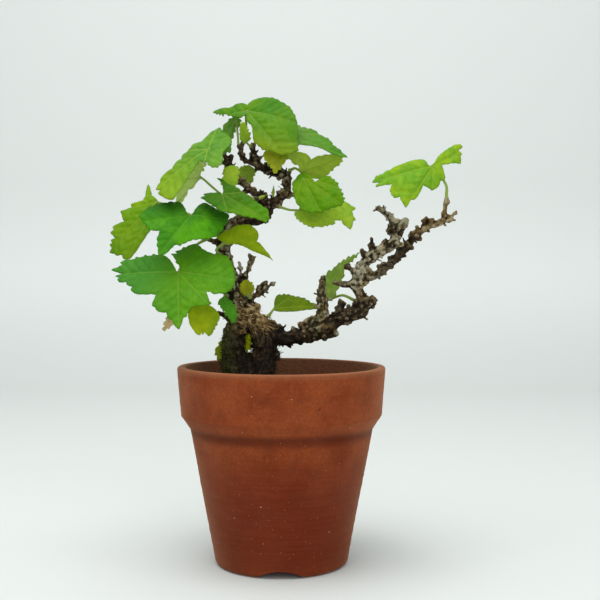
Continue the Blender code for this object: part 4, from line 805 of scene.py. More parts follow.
# %% Outlines tooth by tooth
TRACED_EDGES = {
    "leaf_low_left": (
        (-0.1, 0.8), (0.8, -0.7), (1.7, -3), (2.8, -5.4), (4.4, -8), (5.8, -9.5), (7.9, -10.2),
        (9.5, -10.4), (11.2, -11.3), (11.5, -10.3), (13.4, -10.6), (14.8, -11.8), (15.2, -10.8),
        (17.1, -10.8), (19, -11.8), (19.2, -10.6), (21.2, -10.6), (23.6, -11.1), (26, -10), (24.8, -8.4),
        (27.2, -7.6), (30, -7), (27.1, -5.1), (24.1, -3.7), (28.1, -3.1), (24.7, -1.3), (27, -1.2),
        (26, 0.7), (22.8, 1.2), (22.5, 2.9), (19.9, 4.5), (20.7, 5.9), (19.8, 7.2), (18.2, 8.6),
        (15.2, 9.5), (11.6, 10), (9.4, 10.5), (10.2, 12.8), (11.2, 15.7), (9.9, 16.6), (9.3, 18.1),
        (7.7, 19.3), (5.1, 19.8), (4.8, 21.1), (4.2, 23), (2.7, 23.5), (2.3, 24.9), (1.4, 26.7), (0, 28),
        (-0.8, 26.5), (-1.7, 23.6), (-2, 22.6), (-3.4, 22.3), (-3.7, 20.9), (-5.1, 18.8), (-7, 17.8),
        (-9.6, 17.8), (-12.1, 17.6), (-14, 16.7), (-13.1, 15.8), (-12.7, 14), (-12.1, 12.1), (-12, 10.8),
        (-13.6, 10.9), (-15, 12.2), (-17.1, 11.6), (-20, 11.5), (-20.7, 10.8), (-22.5, 9.9),
        (-22.7, 8.9), (-24, 7.6), (-23.8, 6), (-24.6, 4.6), (-23.9, 3.4), (-24.4, 1.8), (-23.8, 0.4),
        (-24, -1.4), (-23.3, -2.6), (-23.2, -4.3), (-22.2, -5.7), (-21.9, -7.4), (-20.7, -8.2),
        (-18.8, -8.8), (-15.7, -9), (-12.6, -10.5), (-10.4, -12), (-9.1, -13.9), (-7.8, -14.8),
        (-6, -14.6), (-4.2, -14.2), (-3.3, -13.4), (-2.2, -13.9), (-1.6, -12.7), (-0.7, -12.2),
        (1.3, -11.6), (0.1, -10.1), (3.1, -10.3), (2.2, -9.1), (0.6, -5.9), (1.1, -5.1), (-0.4, -3.4),
        (-1.4, -1)),
    "leaf_mid_left": (
        (-0.1, -0.2), (0.6, 0.3), (1.9, 0.3), (3.1, -0.9), (5.2, -2.6), (7.4, -3.7), (9, -3.6),
        (10.2, -2.3), (11.6, -2), (12.4, -0.4), (13.8, 0.3), (14.8, 2), (16.1, 2.6), (16.5, 4.5),
        (17.6, 5.3), (18, 7.8), (18.5, 10.7), (18.5, 12.4), (16.6, 13.3), (15.2, 14.2), (13.9, 14.2),
        (12.3, 15.5), (10.2, 16.3), (8.1, 15.6), (6.4, 14.8), (5.6, 16.9), (5.3, 18.9), (4, 19.9),
        (3.3, 22), (2.1, 22.6), (1.2, 24.3), (0.2, 25.1), (-0.7, 25.1), (-1.4, 24.2), (-2, 22.5),
        (-2.4, 20.1), (-2.7, 17.6), (-3.4, 16.7), (-4.8, 16.3), (-5, 14.9), (-5.9, 14), (-6.1, 12.5),
        (-7, 11.6), (-7.4, 10.1), (-8.7, 9.7), (-9.4, 8.3), (-10.6, 7.8), (-11.4, 6.1), (-12.8, 4.9),
        (-13.1, 3.4), (-14.2, 1.7), (-14.1, -0.5), (-14.6, -2.9), (-13.8, -5.2), (-13.9, -8.2),
        (-13, -10.2), (-12.5, -12.5), (-11, -13.1), (-9.6, -12.2), (-8.1, -12), (-6.6, -11),
        (-4.5, -10.8), (-2.4, -10.8), (-0.5, -10.4), (0.2, -8.6), (0.4, -5.4), (0, -2.1)),
    "leaf_far_left": (
        (-0.1, 0), (2.7, -2), (5.6, -3.1), (7.2, -5.6), (10.1, -8.6), (9.4, -5.8), (8.1, -2.1),
        (8.1, 0.7), (10.6, 1.6), (13.5, 3.4), (12.3, 4.9), (14.5, 6.9), (16.6, 8.1), (14.8, 9.8),
        (12, 13), (14.3, 14.3), (16.7, 16.6), (15.1, 18), (15.9, 20), (14, 20.9), (11.8, 22.3),
        (13.6, 23.5), (12.4, 24.8), (13.2, 25.9), (11.6, 27.1), (11.8, 29.4), (8.8, 29.6), (7.1, 30.4),
        (5, 29.7), (3.7, 29.9), (2.7, 31.4), (0.2, 30.8), (-1.1, 30.5), (-1.8, 28.7), (-3.3, 23.3),
        (-4.2, 18.2), (-5.1, 15.3), (-6, 11.5), (-6.4, 6.6), (-3.7, 2.5)),
    "leaf_upper_left": (
        (-7.7, -2.2), (-6.7, -4.8), (-6.1, -8.1), (-3.9, -10.7), (-0.8, -12), (2.2, -12.3), (4, -12),
        (7.6, -13.5), (7.7, -10.3), (6.9, -6.1), (6.2, -3.2), (5.6, -1.3), (6.7, 0.5), (7.2, 2.7),
        (5.9, 4.8), (5.4, 8), (5.4, 10.3), (4.2, 12.1), (4.9, 13.6), (4.1, 16.9), (2.9, 18.5),
        (3.3, 19.6), (3.4, 22.5), (3.1, 25.4), (1.7, 27), (0.2, 30.9), (-2.4, 29.8), (-2.9, 32),
        (-5.9, 32.1), (-9.3, 31.7), (-11.6, 30.5), (-10.4, 27.1), (-8.2, 21.5), (-6.3, 16.3),
        (-4.7, 11.2), (-3.8, 8.3), (-4.8, 6.9), (-6.5, 6), (-8.7, 7.4), (-9.8, 6.9), (-11.4, 7.4),
        (-12.2, 6.3), (-13.4, 5.7), (-12.7, 4.5), (-13.4, 3.6), (-12.1, 2.4), (-11.7, 1.1), (-9.2, -0.5)),
    "leaf_centre": (
        (0, 0.6), (0.2, -1.3), (1.3, -3.3), (2.8, -5.6), (4.4, -7), (4.5, -5.5), (6.8, -6.6),
        (6.6, -4.3), (7.1, -2.4), (7, -0.1), (7.7, 1), (7.2, 2.6), (7.9, 4.1), (7.7, 6.5), (6.6, 8.2),
        (6.6, 9.4), (5.5, 11.2), (5.6, 12.6), (4.6, 14.4), (4.5, 15.8), (3.4, 17.4), (3.2, 18.9),
        (2.1, 20.3), (2, 22), (1.3, 23.2), (0.7, 25.4), (-0.5, 24.9), (-1.6, 25.4), (-2.5, 24),
        (-4.1, 22.8), (-4.7, 21.7), (-4.8, 20.6), (-4.5, 19.5), (-4.9, 17.9), (-4.7, 16.8), (-5.1, 15.4),
        (-4.7, 14.3), (-4.8, 12.7), (-5.3, 11.3), (-5.3, 9.4), (-5.8, 7.8), (-5.7, 6.2), (-6.2, 4.6),
        (-6, 2.8), (-6, 0.8), (-5.7, -1.1), (-5.8, -2.9), (-6.2, -4.7), (-6, -6), (-5.4, -7.4),
        (-5.1, -5.7), (-4.6, -3.9), (-3.4, -2.2), (-1.7, -0.5)),
    "leaf_centre_low": (
        (-0.3, -1), (-0.5, -2.4), (-1.5, -4.6), (-3.6, -3.3), (-6.6, 0), (-8.9, 1.9), (-9.9, 4.1),
        (-10.5, 5.4), (-11.1, 6.8), (-11.5, 8.4), (-11, 9.7), (-10.6, 11.2), (-9.5, 12.8), (-8.2, 13.9),
        (-6.5, 14.3), (-5.2, 14.2), (-5.2, 15.7), (-4.2, 17.5), (-3.5, 18.9), (-2.6, 20.2), (-2.1, 21.6),
        (-0.8, 23.1), (0.1, 24.6), (-0.3, 23.1), (-0.5, 21.6), (-0.7, 19.8), (-0.8, 17.6), (-0.8, 15.4),
        (-0.9, 13.5), (-1.2, 11.5), (-1.4, 9.4), (-1.3, 6.9), (-1, 4.4), (-0.3, 2.1), (0, 0.5)),
    "leaf_top": (
        (2.5, 1.9), (3.2, 0.8), (4.7, 0), (4.4, -3.3), (3.8, -5.4), (2.6, -8), (3.1, -8.2), (2.2, -10.4),
        (2.1, -11.9), (3.5, -11.8), (2, -13.7), (3, -14.3), (1.5, -15.8), (2.1, -17.2), (0.8, -18.5),
        (-0.7, -22), (-1.6, -20.4), (-1.7, -17.5), (-1.7, -14.7), (-1.3, -11.5), (-2.4, -9.8),
        (-3.8, -8.8), (-4.4, -6), (-4.1, -3.8), (-3.1, -1.1), (-5.2, -0.4), (-7, 0.8), (-8.5, 3.4),
        (-9.5, 6.2), (-9.3, 8), (-9.7, 9.2), (-9.1, 10.9), (-9.1, 12.3), (-8.4, 14.1), (-8.4, 15.9),
        (-7.6, 17.7), (-7.2, 19.8), (-6.1, 20.8), (-5.5, 22.1), (-4.2, 23), (-3.9, 24.2), (-2.3, 25.2),
        (-1.1, 26.5), (0.8, 27.4), (5.2, 29.9), (7.7, 30.9), (9, 32.7), (10, 32.3), (11.4, 33.5),
        (12.7, 32), (13.9, 31.5), (15.1, 29.9), (16.1, 27.4), (16.4, 24.8), (16.1, 22.4), (16.9, 20.9),
        (17.3, 20.4), (16.6, 19.4), (17, 18.4), (16.1, 17.1), (16, 15.8), (15.3, 14.9), (15.3, 13.8),
        (14, 12.4), (11.9, 11.1), (8.9, 9.2), (7.3, 7.7), (6.6, 5.6)),
    "leaf_top_right": (
        (-1.6, -2), (-6.2, -4), (-10.8, -3.6), (-12.9, -1.1), (-13.5, 1), (-12.1, 3.1), (-12.9, 4.3),
        (-11.7, 6.5), (-12.4, 7.9), (-11.5, 9.5), (-11.4, 11.2), (-10.1, 13.2), (-9.6, 15.3),
        (-8.3, 17.2), (-8.3, 18.9), (-6.6, 20.6), (-6.1, 21.9), (-4.3, 23.7), (-4.1, 25), (-2.9, 26.6),
        (-2.7, 28.1), (-1.4, 29.8), (-0.9, 31.2), (0.1, 33.4), (1.7, 32.3), (2.4, 30.9), (2.1, 29.3),
        (2, 27.7), (1.4, 24.3), (-0.2, 20.9), (0.7, 18.8), (2.4, 16.3), (3.4, 13.7), (3.7, 11.4),
        (1.8, 7.6), (1.4, 4.3), (1.4, 1.1)),
    "leaf_right_pale": (
        (-2, -0.5), (0.2, -1.2), (1.8, -0.8), (2.5, -0.1), (4, -0.1), (4.5, -1.4), (5.8, -2.1),
        (7.1, -2), (8.4, -2.5), (9.7, -3), (11, -1), (9.8, 2.4), (8.1, 4.5), (6.3, 5.7), (3.8, 6),
        (4.1, 7.7), (4.4, 9.7), (3.8, 10.9), (3.9, 12.6), (3.1, 14.1), (3.1, 15.7), (2.1, 16.9),
        (1.7, 18.2), (0.6, 19.8), (-0.3, 18.7), (-1.6, 18.9), (-2, 17.3), (-3.4, 16.4), (-3.4, 15),
        (-3.9, 13.5), (-5.2, 12.8), (-5, 11.4), (-6.1, 10.3), (-6.1, 9.1), (-7.3, 8), (-6.6, 4.6),
        (-4.3, 1.2)),
    "leaf_right_front": (
        (-0.5, -2.7), (1.5, -2.7), (2.8, -1.5), (5.2, -0.1), (5.5, 1.8), (6.4, 3.3), (6.3, 5),
        (7.2, 6.5), (7.1, 8.3), (7.5, 10.1), (6.8, 12.3), (6.6, 14.7), (5, 16.7), (3.4, 18.4),
        (1.4, 18.9), (-0.2, 20.4), (-1.9, 20.2), (-3.4, 21.1), (-5.1, 20.8), (-6.7, 21.8), (-8, 21.7),
        (-9.1, 22.5), (-10.2, 21.7), (-10.9, 21.8), (-11.1, 20.8), (-12.2, 20.8), (-11.4, 19.3),
        (-12.5, 18.3), (-11.8, 16.9), (-12.6, 15.9), (-11.8, 14.8), (-12, 13.2), (-12.7, 12.5),
        (-11.7, 11.1), (-12, 10), (-11.1, 9.1), (-11.1, 7.8), (-9.5, 6.3), (-7.7, 5.6), (-5.8, 5.7),
        (-3.8, 5.5), (-3.5, 3.2), (-2.6, 0.1)),
    "leaf_right_low": (
        (0.2, -0.1), (1.8, -1.1), (3.3, -0.7), (3.7, 0.3), (4.9, 1), (5, 2.3), (6, 3.3), (5.8, 4.6),
        (6.7, 5.5), (6.4, 6.7), (7, 7.8), (6.5, 8.8), (7.1, 10.1), (6, 10.7), (5.5, 12), (5.4, 13),
        (4.9, 13.9), (3.9, 14.2), (3.7, 15.6), (2.4, 15.9), (2, 17.2), (0.2, 17.7), (-0.6, 16.4),
        (-1.5, 18), (-2.2, 19.5), (-0.8, 20.7), (-0.4, 22.4), (0.2, 24.8), (-2.2, 24.7), (-4.3, 24),
        (-5.4, 24.8), (-6.6, 23.1), (-8.8, 21.5), (-11.2, 22.3), (-11.4, 19.9), (-12.4, 17.5),
        (-12.9, 15.3), (-12.9, 11.4), (-11.2, 6.2), (-8, 1.7), (-3.4, -0.1)),
    "leaf_branch_tip": (
        (1.2, 0.8), (2.4, 0.9), (3.8, -0.2), (5, -0.3), (6.1, 0.4), (7.3, 1.8), (8.5, 3.3), (9.6, 4.9),
        (10.6, 6.7), (11.8, 8.7), (13, 10.6), (13.9, 12.4), (14.1, 13.5), (14.8, 14.3), (15.6, 15.8),
        (15.6, 17.2), (16.5, 18.1), (16.8, 19.1), (17.6, 19.8), (17.3, 21.2), (17.3, 23.2), (16.1, 22.5),
        (14.7, 21.1), (15.1, 22.6), (15.4, 23.7), (14.8, 24.4), (13.8, 23), (12.3, 21.3), (10.1, 19.3),
        (9.8, 21), (9.2, 22.9), (8.3, 23.2), (8, 24.1), (7.1, 24.1), (6.3, 24.6), (5.1, 23.6),
        (4.5, 22.3), (3.6, 23.6), (2.4, 24.4), (1.2, 24.9), (-0.1, 25.3), (-0.2, 24), (-0.1, 22.5),
        (0.1, 20.5), (-1.1, 20), (-1.5, 18.2), (-1.4, 16), (-1.2, 13.8), (-0.7, 11.5), (-2.2, 11.3),
        (-3.6, 10.8), (-5.2, 10.4), (-5.9, 8.8), (-6.5, 7.1), (-6.3, 5.1), (-5.8, 3.6), (-7.2, 2.3),
        (-6.9, 0.5), (-5.9, -0.4), (-4.9, -1.5), (-3.5, -2.5), (-2.5, -3.8), (-3.8, -5.4), (-4.9, -6.6),
        (-5.6, -8.2), (-7.8, -10.6), (-10.6, -13.8), (-9.8, -16.8), (-8.7, -17.8), (-9.4, -20.2),
        (-7.7, -20.2), (-5.8, -19), (-6.9, -21.1), (-8.1, -25.2), (-6.8, -25), (-5.2, -23.3),
        (-3.5, -20.8), (-2.3, -17.5), (-0.9, -13.7), (-0.2, -10.7), (0.5, -7.6), (0.6, -5), (0.4, -2.5),
        (0.7, -0.7)),
    "leaf_stump_right": (
        (0.3, -0.4), (-1.4, 0.2), (-4.2, 0.4), (-5.5, 0.8), (-6.7, 1.5), (-7.4, 2.8), (-6.8, 3.5),
        (-7.5, 4.7), (-6.9, 5.6), (-7.2, 6.6), (-6.4, 7.8), (-6.3, 9), (-5.4, 9.6), (-5.5, 11.1),
        (-4.7, 12.1), (-4.6, 14.2), (-3.7, 13.9), (-3.1, 15.8), (-2.1, 16.1), (-1.8, 17.7), (-1.2, 19.2),
        (1.1, 18.8), (1.6, 17.1), (2, 14.4), (2.4, 11.7), (2.6, 9.3), (2.5, 6.6), (2.2, 4.3), (1.7, 2.3),
        (1, 0.2)),
    "leaf_stump_left": (
        (1, -2.4), (3.8, -2.1), (6.4, -0.2), (6.7, 2.4), (6.6, 4.9), (5.9, 6.3), (5.4, 7.9), (4.3, 9.4),
        (2.9, 10.9), (1.3, 12.3), (0, 12.4), (-0.7, 11.2), (-1.2, 12.2), (-1.8, 10.7), (-2.7, 11.5),
        (-4, 12.3), (-5.3, 10.7), (-5.5, 9.1), (-6, 8.7), (-5.9, 7.3), (-6.8, 6.5), (-6.5, 5.4),
        (-7.1, 4.1), (-7, 2.3), (-5.3, 0.2), (-3.1, -1.4)),
    "leaf_under_left": (
        (-5.4, -4.1), (-4.5, -5.3), (-2.6, -6.4), (-1.7, -5.5), (-2.2, -4.1), (-0.6, -3.5), (-1.5, -1.9),
        (-0.5, -0.3), (0.8, -0.2), (0.2, 1.7), (0.3, 3.7), (1.3, 5.1), (1.3, 6.3), (0, 7.6), (-0.2, 8.9),
        (1.6, 10.1), (1.3, 11.9), (2, 12.9), (1.7, 14.7), (-0.9, 16.2), (-2.5, 13.5), (-3.6, 8.1),
        (-4.4, 3.1), (-5.1, -1.5)),
}

# %% Teeth by rule
TOOTH_PITCH, TOOTH_DEPTH = 2.9, 1.2
CLOSING_PITCH = 1.0
EDGE_BULGE = 0.07


def polar(angle, reach):
    """A point of the flat blade: x to the side of the midrib, y along it."""
    return Vector((reach * math.sin(math.radians(angle)), reach * math.cos(math.radians(angle))))


def toothed_run(start, stop, pitch, depth, chance):
    """One side of a lobe: a slightly bulging line with curved saw teeth that lean to the lobe's tip."""
    run = stop - start
    outward = Vector((run.y, -run.x)).normalized()
    if outward.dot(start + stop) < 0:
        outward = -outward
    to_tip = stop.length > start.length
    bulge = min(1.0, 0.045 * run.length)
    teeth = max(1, round(run.length / pitch))
    marks = sorted(min(0.98, max(0.02, (n + chance.uniform(-0.16, 0.16)) / teeth)) for n in range(1, teeth))
    marks = [0.0] + marks + [1.0]
    out = []
    for first, last in zip(marks, marks[1:]):
        deep = depth * chance.uniform(0.7, 1.2) * min(1.0, (last - first) * run.length / pitch)
        shape = ((0.0, 0.0), (0.26, 0.5), (0.52, 0.84), (0.76, 1.0), (0.88, 0.62))
        for share, rise in shape:
            t = first + (last - first) * (share if to_tip else 1.0 - share)
            out.append((t, rise * deep))
    out.sort()
    return [start.lerp(stop, t) + outward * (rise - 0.35 * depth + bulge * 4 * t * (1 - t))
            for t, rise in out if t < 0.999]


def traced_outline(points):
    """A traced outline with its longer runs bulged a little outwards, as soft tissue is."""
    corners = np.array(points)
    ahead = np.roll(corners, -1, axis=0)
    area = (corners[:, 0] * ahead[:, 1] - ahead[:, 0] * corners[:, 1]).sum()
    out = []
    for start, stop in zip(corners, ahead):
        run = stop - start
        outward = np.array([run[1], -run[0]]) * (EDGE_BULGE if area > 0 else -EDGE_BULGE)
        steps = max(1, min(4, round(float(np.linalg.norm(run)) / 0.6)))
        out += [start + run * k / steps + outward * 4 * (k / steps) * (1 - k / steps) for k in range(steps)]
    return np.array(out)


def leaf_outline(name, leaf):
    """The whole toothed outline of a blade."""
    if name in TRACED_EDGES:
        return traced_outline(TRACED_EDGES[name])
    chance = random.Random(name)
    corners = [polar(*corner) for corner in leaf.edge]
    small = min(1.0, 0.5 + (Vector(leaf.tip) - Vector(leaf.base)).length / 36)
    out = []
    for start, stop in zip(corners, corners[1:]):
        out += toothed_run(start, stop, TOOTH_PITCH * small, TOOTH_DEPTH * small, chance)
    steps = max(1, round((corners[0] - corners[-1]).length / CLOSING_PITCH))
    out += [corners[-1].lerp(corners[0], k / steps) for k in range(steps)]
    return np.array([tuple(point) for point in out])


# %% [markdown]
# The veins follow from the outline: one main vein runs to each lobe tip, and side veins leave it at
# about 45 degrees. Each point of the blade belongs to the main vein that lies nearest to it by angle.
# Its distance along that vein and off it are kept as the blade's UV map, so that the relief and the
# colour of the veins use the same numbers.

# %% Veins
VEIN_SPREAD = 17.0
VEIN_REACH = 0.42


def main_veins(leaf):
    """Directions and lengths of the main veins, one to each lobe tip."""
    length = (Vector(leaf.tip) - Vector(leaf.base)).length
    reach = [corner[1] for corner in leaf.edge]
    found = [(0.0, length)]
    for k in range(1, len(leaf.edge) - 1):
        angle, far = leaf.edge[k]
        peak = reach[k - 1] <= far >= reach[k + 1]
        apart = min(abs(angle - other) for other, _ in found)
        if peak and far > VEIN_REACH * length and apart > VEIN_SPREAD:
            found.append((angle, far))
    if len(found) < 3:
        found += [(38.0, 0.6 * length), (-38.0, 0.6 * length)]
    return sorted(found)


def vein_places(points, veins):
    """For flat points: which vein is theirs."""
    angles = np.degrees(np.arctan2(points[:, 0], points[:, 1]))
    gaps = np.array([np.abs((angles - angle + 180) % 360 - 180) for angle, _ in veins])
    return np.argmin(gaps, axis=0)


def along_vein(points, own, veins):
    """Distance along a point's own vein, and signed distance off it."""
    turns = np.radians([angle for angle, _ in veins])[own]
    s = points[:, 0] * np.sin(turns) + points[:, 1] * np.cos(turns)
    t = points[:, 0] * np.cos(turns) - points[:, 1] * np.sin(turns)
    return s, t


# %% [markdown]
# The relief is a sum of simple parts: a groove over each main vein, tissue that swells between the side
# veins, and slow waves that grow towards the margin. On the underside the veins stand out as ribs.

# %% Relief of a blade
VEIN_PITCH = 4.2
VEIN_SLANT = 0.82
SWELL = 0.42
WAVES = 0.85
SHEET = 0.16


def leaf_relief(points, leaf, veins, edge_gap, seed):
    """Heights of the upper and lower faces over the smooth blade, in millimetres."""
    length = (Vector(leaf.tip) - Vector(leaf.base)).length
    size = min(1.0, length / 26.0)
    own = vein_places(points, veins)
    s, t = along_vein(points, own, veins)
    reach = np.array([far for _, far in veins])[own]
    near_base = np.clip(1.0 - s / reach, 0.1, 1.0)
    phase = (s - VEIN_SLANT * np.abs(t) + 0.012 * t * t) / (VEIN_PITCH * (0.55 + 0.45 * size))
    wave = 0.5 - 0.5 * np.cos(math.tau * phase)
    away = np.clip(np.abs(t) / 1.5, 0.0, 1.0)
    inside = np.clip(edge_gap / 1.2, 0.25, 1.0)
    swell = SWELL * size * (wave ** 0.7) * away * inside
    groove = np.exp(-(t / (0.32 + 0.3 * near_base)) ** 2)
    fold = 0.35 * size * (1.0 - np.exp(-(t / 1.6) ** 2))
    places = np.column_stack([points, np.zeros(len(points))])
    loose = np.clip(1.3 - edge_gap / 7.0, 0.15, 1.0)
    slow = WAVES * size * noise_at(places, 8.5, seed) * loose + 0.18 * noise_at(places, 2.6, seed + 3.0)
    body = swell + fold + slow
    upper = body - 0.16 * groove * near_base + SHEET
    lower = body - SHEET - groove * (0.12 + 0.34 * near_base) - 0.10 * (1.0 - wave) ** 6 * inside
    return upper, lower


# %% Meshing a blade
BLADE_GRID = 0.62
GRID_MARGIN = 0.30


def distance_to_outline(points, outline):
    """Distance from each flat point to the nearest line of the outline."""
    starts, runs = outline, np.roll(outline, -1, axis=0) - outline
    longest = np.maximum((runs ** 2).sum(axis=1), 1e-9)
    best = np.full(len(points), 1e9)
    for first in range(0, len(points), 800):
        block = points[first:first + 800, None, :] - starts[None]
        share = np.clip((block * runs[None]).sum(axis=2) / longest, 0.0, 1.0)
        gap = np.linalg.norm(block - share[..., None] * runs[None], axis=2)
        best[first:first + 800] = gap.min(axis=1)
    return best


def inside_outline(points, outline):
    """True for the flat points inside an outline."""
    following = np.roll(outline, -1, axis=0)
    inside = np.zeros(len(points), dtype=bool)
    for (x1, y1), (x2, y2) in zip(outline, following):
        if y1 != y2:
            crosses = (y1 > points[:, 1]) != (y2 > points[:, 1])
            inside ^= crosses & (points[:, 0] < x1 + (x2 - x1) * (points[:, 1] - y1) / (y2 - y1))
    return inside


def grid_inside(outline):
    """A triangular grid of points inside an outline."""
    low, high = outline.min(axis=0), outline.max(axis=0)
    rows = np.arange(low[1], high[1], BLADE_GRID * 0.866)
    grid = [np.column_stack([np.arange(low[0] + (k % 2) * BLADE_GRID / 2, high[0], BLADE_GRID),
                             np.full(len(np.arange(low[0] + (k % 2) * BLADE_GRID / 2, high[0], BLADE_GRID)), y)])
            for k, y in enumerate(rows)]
    points = np.concatenate(grid)
    points = points[inside_outline(points, outline)]
    return points[distance_to_outline(points, outline) > GRID_MARGIN]


def flat_blade(outline):
    """Triangulate an outline and its grid. Returns points and faces."""
    points = np.concatenate([outline, grid_inside(outline)])
    flat = [Vector(point) for point in points]
    sheet = delaunay_2d_cdt(flat, [], [list(range(len(outline)))], 1, 1e-4)
    faces = [tuple(face) for face in sheet[2]]
    return np.array([tuple(point) for point in sheet[0]]), faces


def leaf_axes(leaf):
    """The blade's own frame: along the midrib, out of the upper face, and across."""
    base, tip = Vector(leaf.base), Vector(leaf.tip)
    along = (tip - base).normalized()
    facing = Vector((0, -1, 0))
    facing = (facing - along * along.dot(facing)).normalized()
    up = Matrix.Rotation(math.radians(leaf.roll), 3, along) @ facing
    return base, (tip - base).length, along, up, along.cross(up)


def place_blade(points, height, leaf):
    """Set flat points at a height over the CAD blade's bent middle."""
    base, length, along, up, across = [np.array(v) for v in leaf_axes(leaf)]
    dome = leaf.dome * (length * points[:, 1] - (points ** 2).sum(axis=1)) / length
    fold = leaf.fold * (np.hypot(points[:, 0], 1.0) - 1.0)
    return (base + points[:, 1:2] * along + points[:, 0:1] * across
            + (dome + fold + height)[:, None] * up)


# %% [markdown]
# The two faces of a blade are joined round the margin by a narrow rim, so the leaf is closed and has a
# real thickness of a third of a millimetre.

# %% Build a blade


def boundary_loops(faces):
    """Directed margin edges: those that only one triangle uses."""
    used = {}
    for face in faces:
        for a, b in zip(face, face[1:] + face[:1]):
            used[(a, b)] = used.get((a, b), 0) + 1
    return [(a, b) for a, b in used if (b, a) not in used]


def make_blade(name, leaf):
    """A closed blade with relief, its vein map and its marks."""
    outline = leaf_outline(name, leaf)
    flat, faces = flat_blade(outline)
    seed = sum(ord(letter) for letter in name) % 97
    veins = main_veins(leaf)
    edge_gap = distance_to_outline(flat, outline)
    upper, lower = leaf_relief(flat, leaf, veins, edge_gap, seed)
    top = place_blade(flat, upper, leaf)
    under = place_blade(flat, lower, leaf)
    count = len(flat)
    facing = flat[faces[0][1]] - flat[faces[0][0]]
    other = flat[faces[0][2]] - flat[faces[0][0]]
    turned = facing[0] * other[1] - facing[1] * other[0] > 0
    if turned:
        faces = [face[::-1] for face in faces]
    rim = [(b, a, a + count, b + count) for a, b in boundary_loops(faces)]
    all_faces = faces + [tuple(k + count for k in face[::-1]) for face in faces] + rim
    mesh = bpy.data.meshes.new(name + "_blade")
    mesh.from_pydata(np.concatenate([top, under]).tolist(), [], all_faces)
    marks = np.zeros((2 * count, 4))
    marks[:, 0] = np.clip(1.0 - np.tile(edge_gap, 2) / 4.0, 0.0, 1.0)
    marks[:count, 1] = 1.0
    marks[:, 3] = 1.0
    layer = mesh.attributes.new("leaf_marks", "FLOAT_COLOR", "POINT")
    layer.data.foreach_set("color", marks.ravel())
    double = np.concatenate([flat, flat])
    write_vein_map(mesh, double, all_faces, veins)
    mesh.shade_smooth()
    return mesh


def write_vein_map(mesh, flat, faces, veins):
    """UV of every face corner: distance along and off the vein that the whole face belongs to."""
    middles = np.array([flat[list(face)].mean(axis=0) for face in faces])
    own = vein_places(middles, veins)
    corners = np.concatenate([list(face) for face in faces])
    owners = np.repeat(own, [len(face) for face in faces])
    s, t = along_vein(flat[corners], owners, veins)
    layer = mesh.uv_layers.new(name="along_vein")
    layer.data.foreach_set("uv", np.column_stack([s, t]).ravel())


# %% Build a leaf: blade and stalk
STALK_RADIUS = 0.58
STALK_SINK = 0.55


def smooth_route(route, steps):
    """Points on a smooth curve through a route's own points."""
    ends = [route[0]] + list(route) + [route[-1]]
    out = []
    for before, start, stop, after in zip(ends, ends[1:], ends[2:], ends[3:]):
        for k in range(steps):
            t = k / steps
            out.append(tuple(
                0.5 * (2 * b + (c - a) * t + (2 * a - 5 * b + 4 * c - d) * t * t
                       + (3 * b - a - 3 * c + d) * t ** 3)
                for a, b, c, d in zip(before, start, stop, after)))
    out.append(tuple(route[-1]))
    return out


def make_tube(name, route):
    """A round tube along (x, y, z, radius) points, as a mesh object with closed ends."""
    curve = bpy.data.curves.new(name, "CURVE")
    curve.dimensions = "3D"
    curve.bevel_depth = 1.0
    curve.bevel_resolution = 3
    curve.use_fill_caps = True
    spline = curve.splines.new("POLY")
    spline.points.add(len(route) - 1)
    for point, (x, y, z, radius) in zip(spline.points, route):
        point.co = (x, y, z, 1.0)
        point.radius = radius
    thing = bpy.data.objects.new(name, curve)
    bpy.context.scene.collection.objects.link(thing)
    make_active(thing)
    bpy.ops.object.convert(target="MESH")
    bpy.ops.object.mode_set(mode="EDIT")
    bpy.ops.mesh.select_all(action="SELECT")
    bpy.ops.mesh.remove_doubles(threshold=0.0005)
    bpy.ops.mesh.normals_make_consistent(inside=False)
    bpy.ops.object.mode_set(mode="OBJECT")
    thing = bpy.context.object
    thing.data.shade_smooth()
    return thing


def make_stalk(name, leaf):
    """The leaf's stalk, swollen where it meets the wood and tapering into the midrib."""
    foot, bend, base = Vector(leaf.foot), Vector(leaf.bend), Vector(leaf.base)
    away = (bend - foot).normalized()
    _, length, along, up, _ = leaf_axes(leaf)
    size = min(1.0, 0.6 + length / 60)
    sunk = foot - away * STALK_SINK
    thick = STALK_RADIUS * size
    joint = base - up * thick * 0.8
    inside = base + along * 2.4 - up * 0.55
    route = smooth_route([(*sunk, 0.98), (*(foot + away * 0.8), thick * 1.25), (*bend, thick), (*joint, thick),
                          (*inside, thick * 0.5)], 5)
    tube = make_tube(name + "_stalk", route)
    marks = np.tile([0.0, 1.0, 1.0, 1.0], (len(tube.data.vertices), 1))
    layer = tube.data.attributes.new("leaf_marks", "FLOAT_COLOR", "POINT")
    layer.data.foreach_set("color", marks.ravel())
    return tube


def make_leaf(name, leaf, material):
    """A whole leaf in the place of its CAD solid."""
    thing = bpy.data.objects.new(name + "_detail", make_blade(name, leaf))
    bpy.context.scene.collection.objects.link(thing)
    stalk = make_stalk(name, leaf)
    make_active(thing)
    stalk.select_set(True)
    bpy.ops.object.join()
    settle(thing)
    dress(thing, material, leaf.tint, name)
    return thing


# %% [markdown]
# ### Leaf colours
#
# No two leaves on the tree have the same green. Young ones at the ends are yellow-green, old ones deep
# green, and most run from one tone to another across the blade. Each leaf has two tones here, mixed by
# soft patches. Paler veins with a fine net between them, a paler dull underside and light that shines
# through the blade are common to all, so they come from one shared group and one recipe.

# %% The vein pattern as a shared group


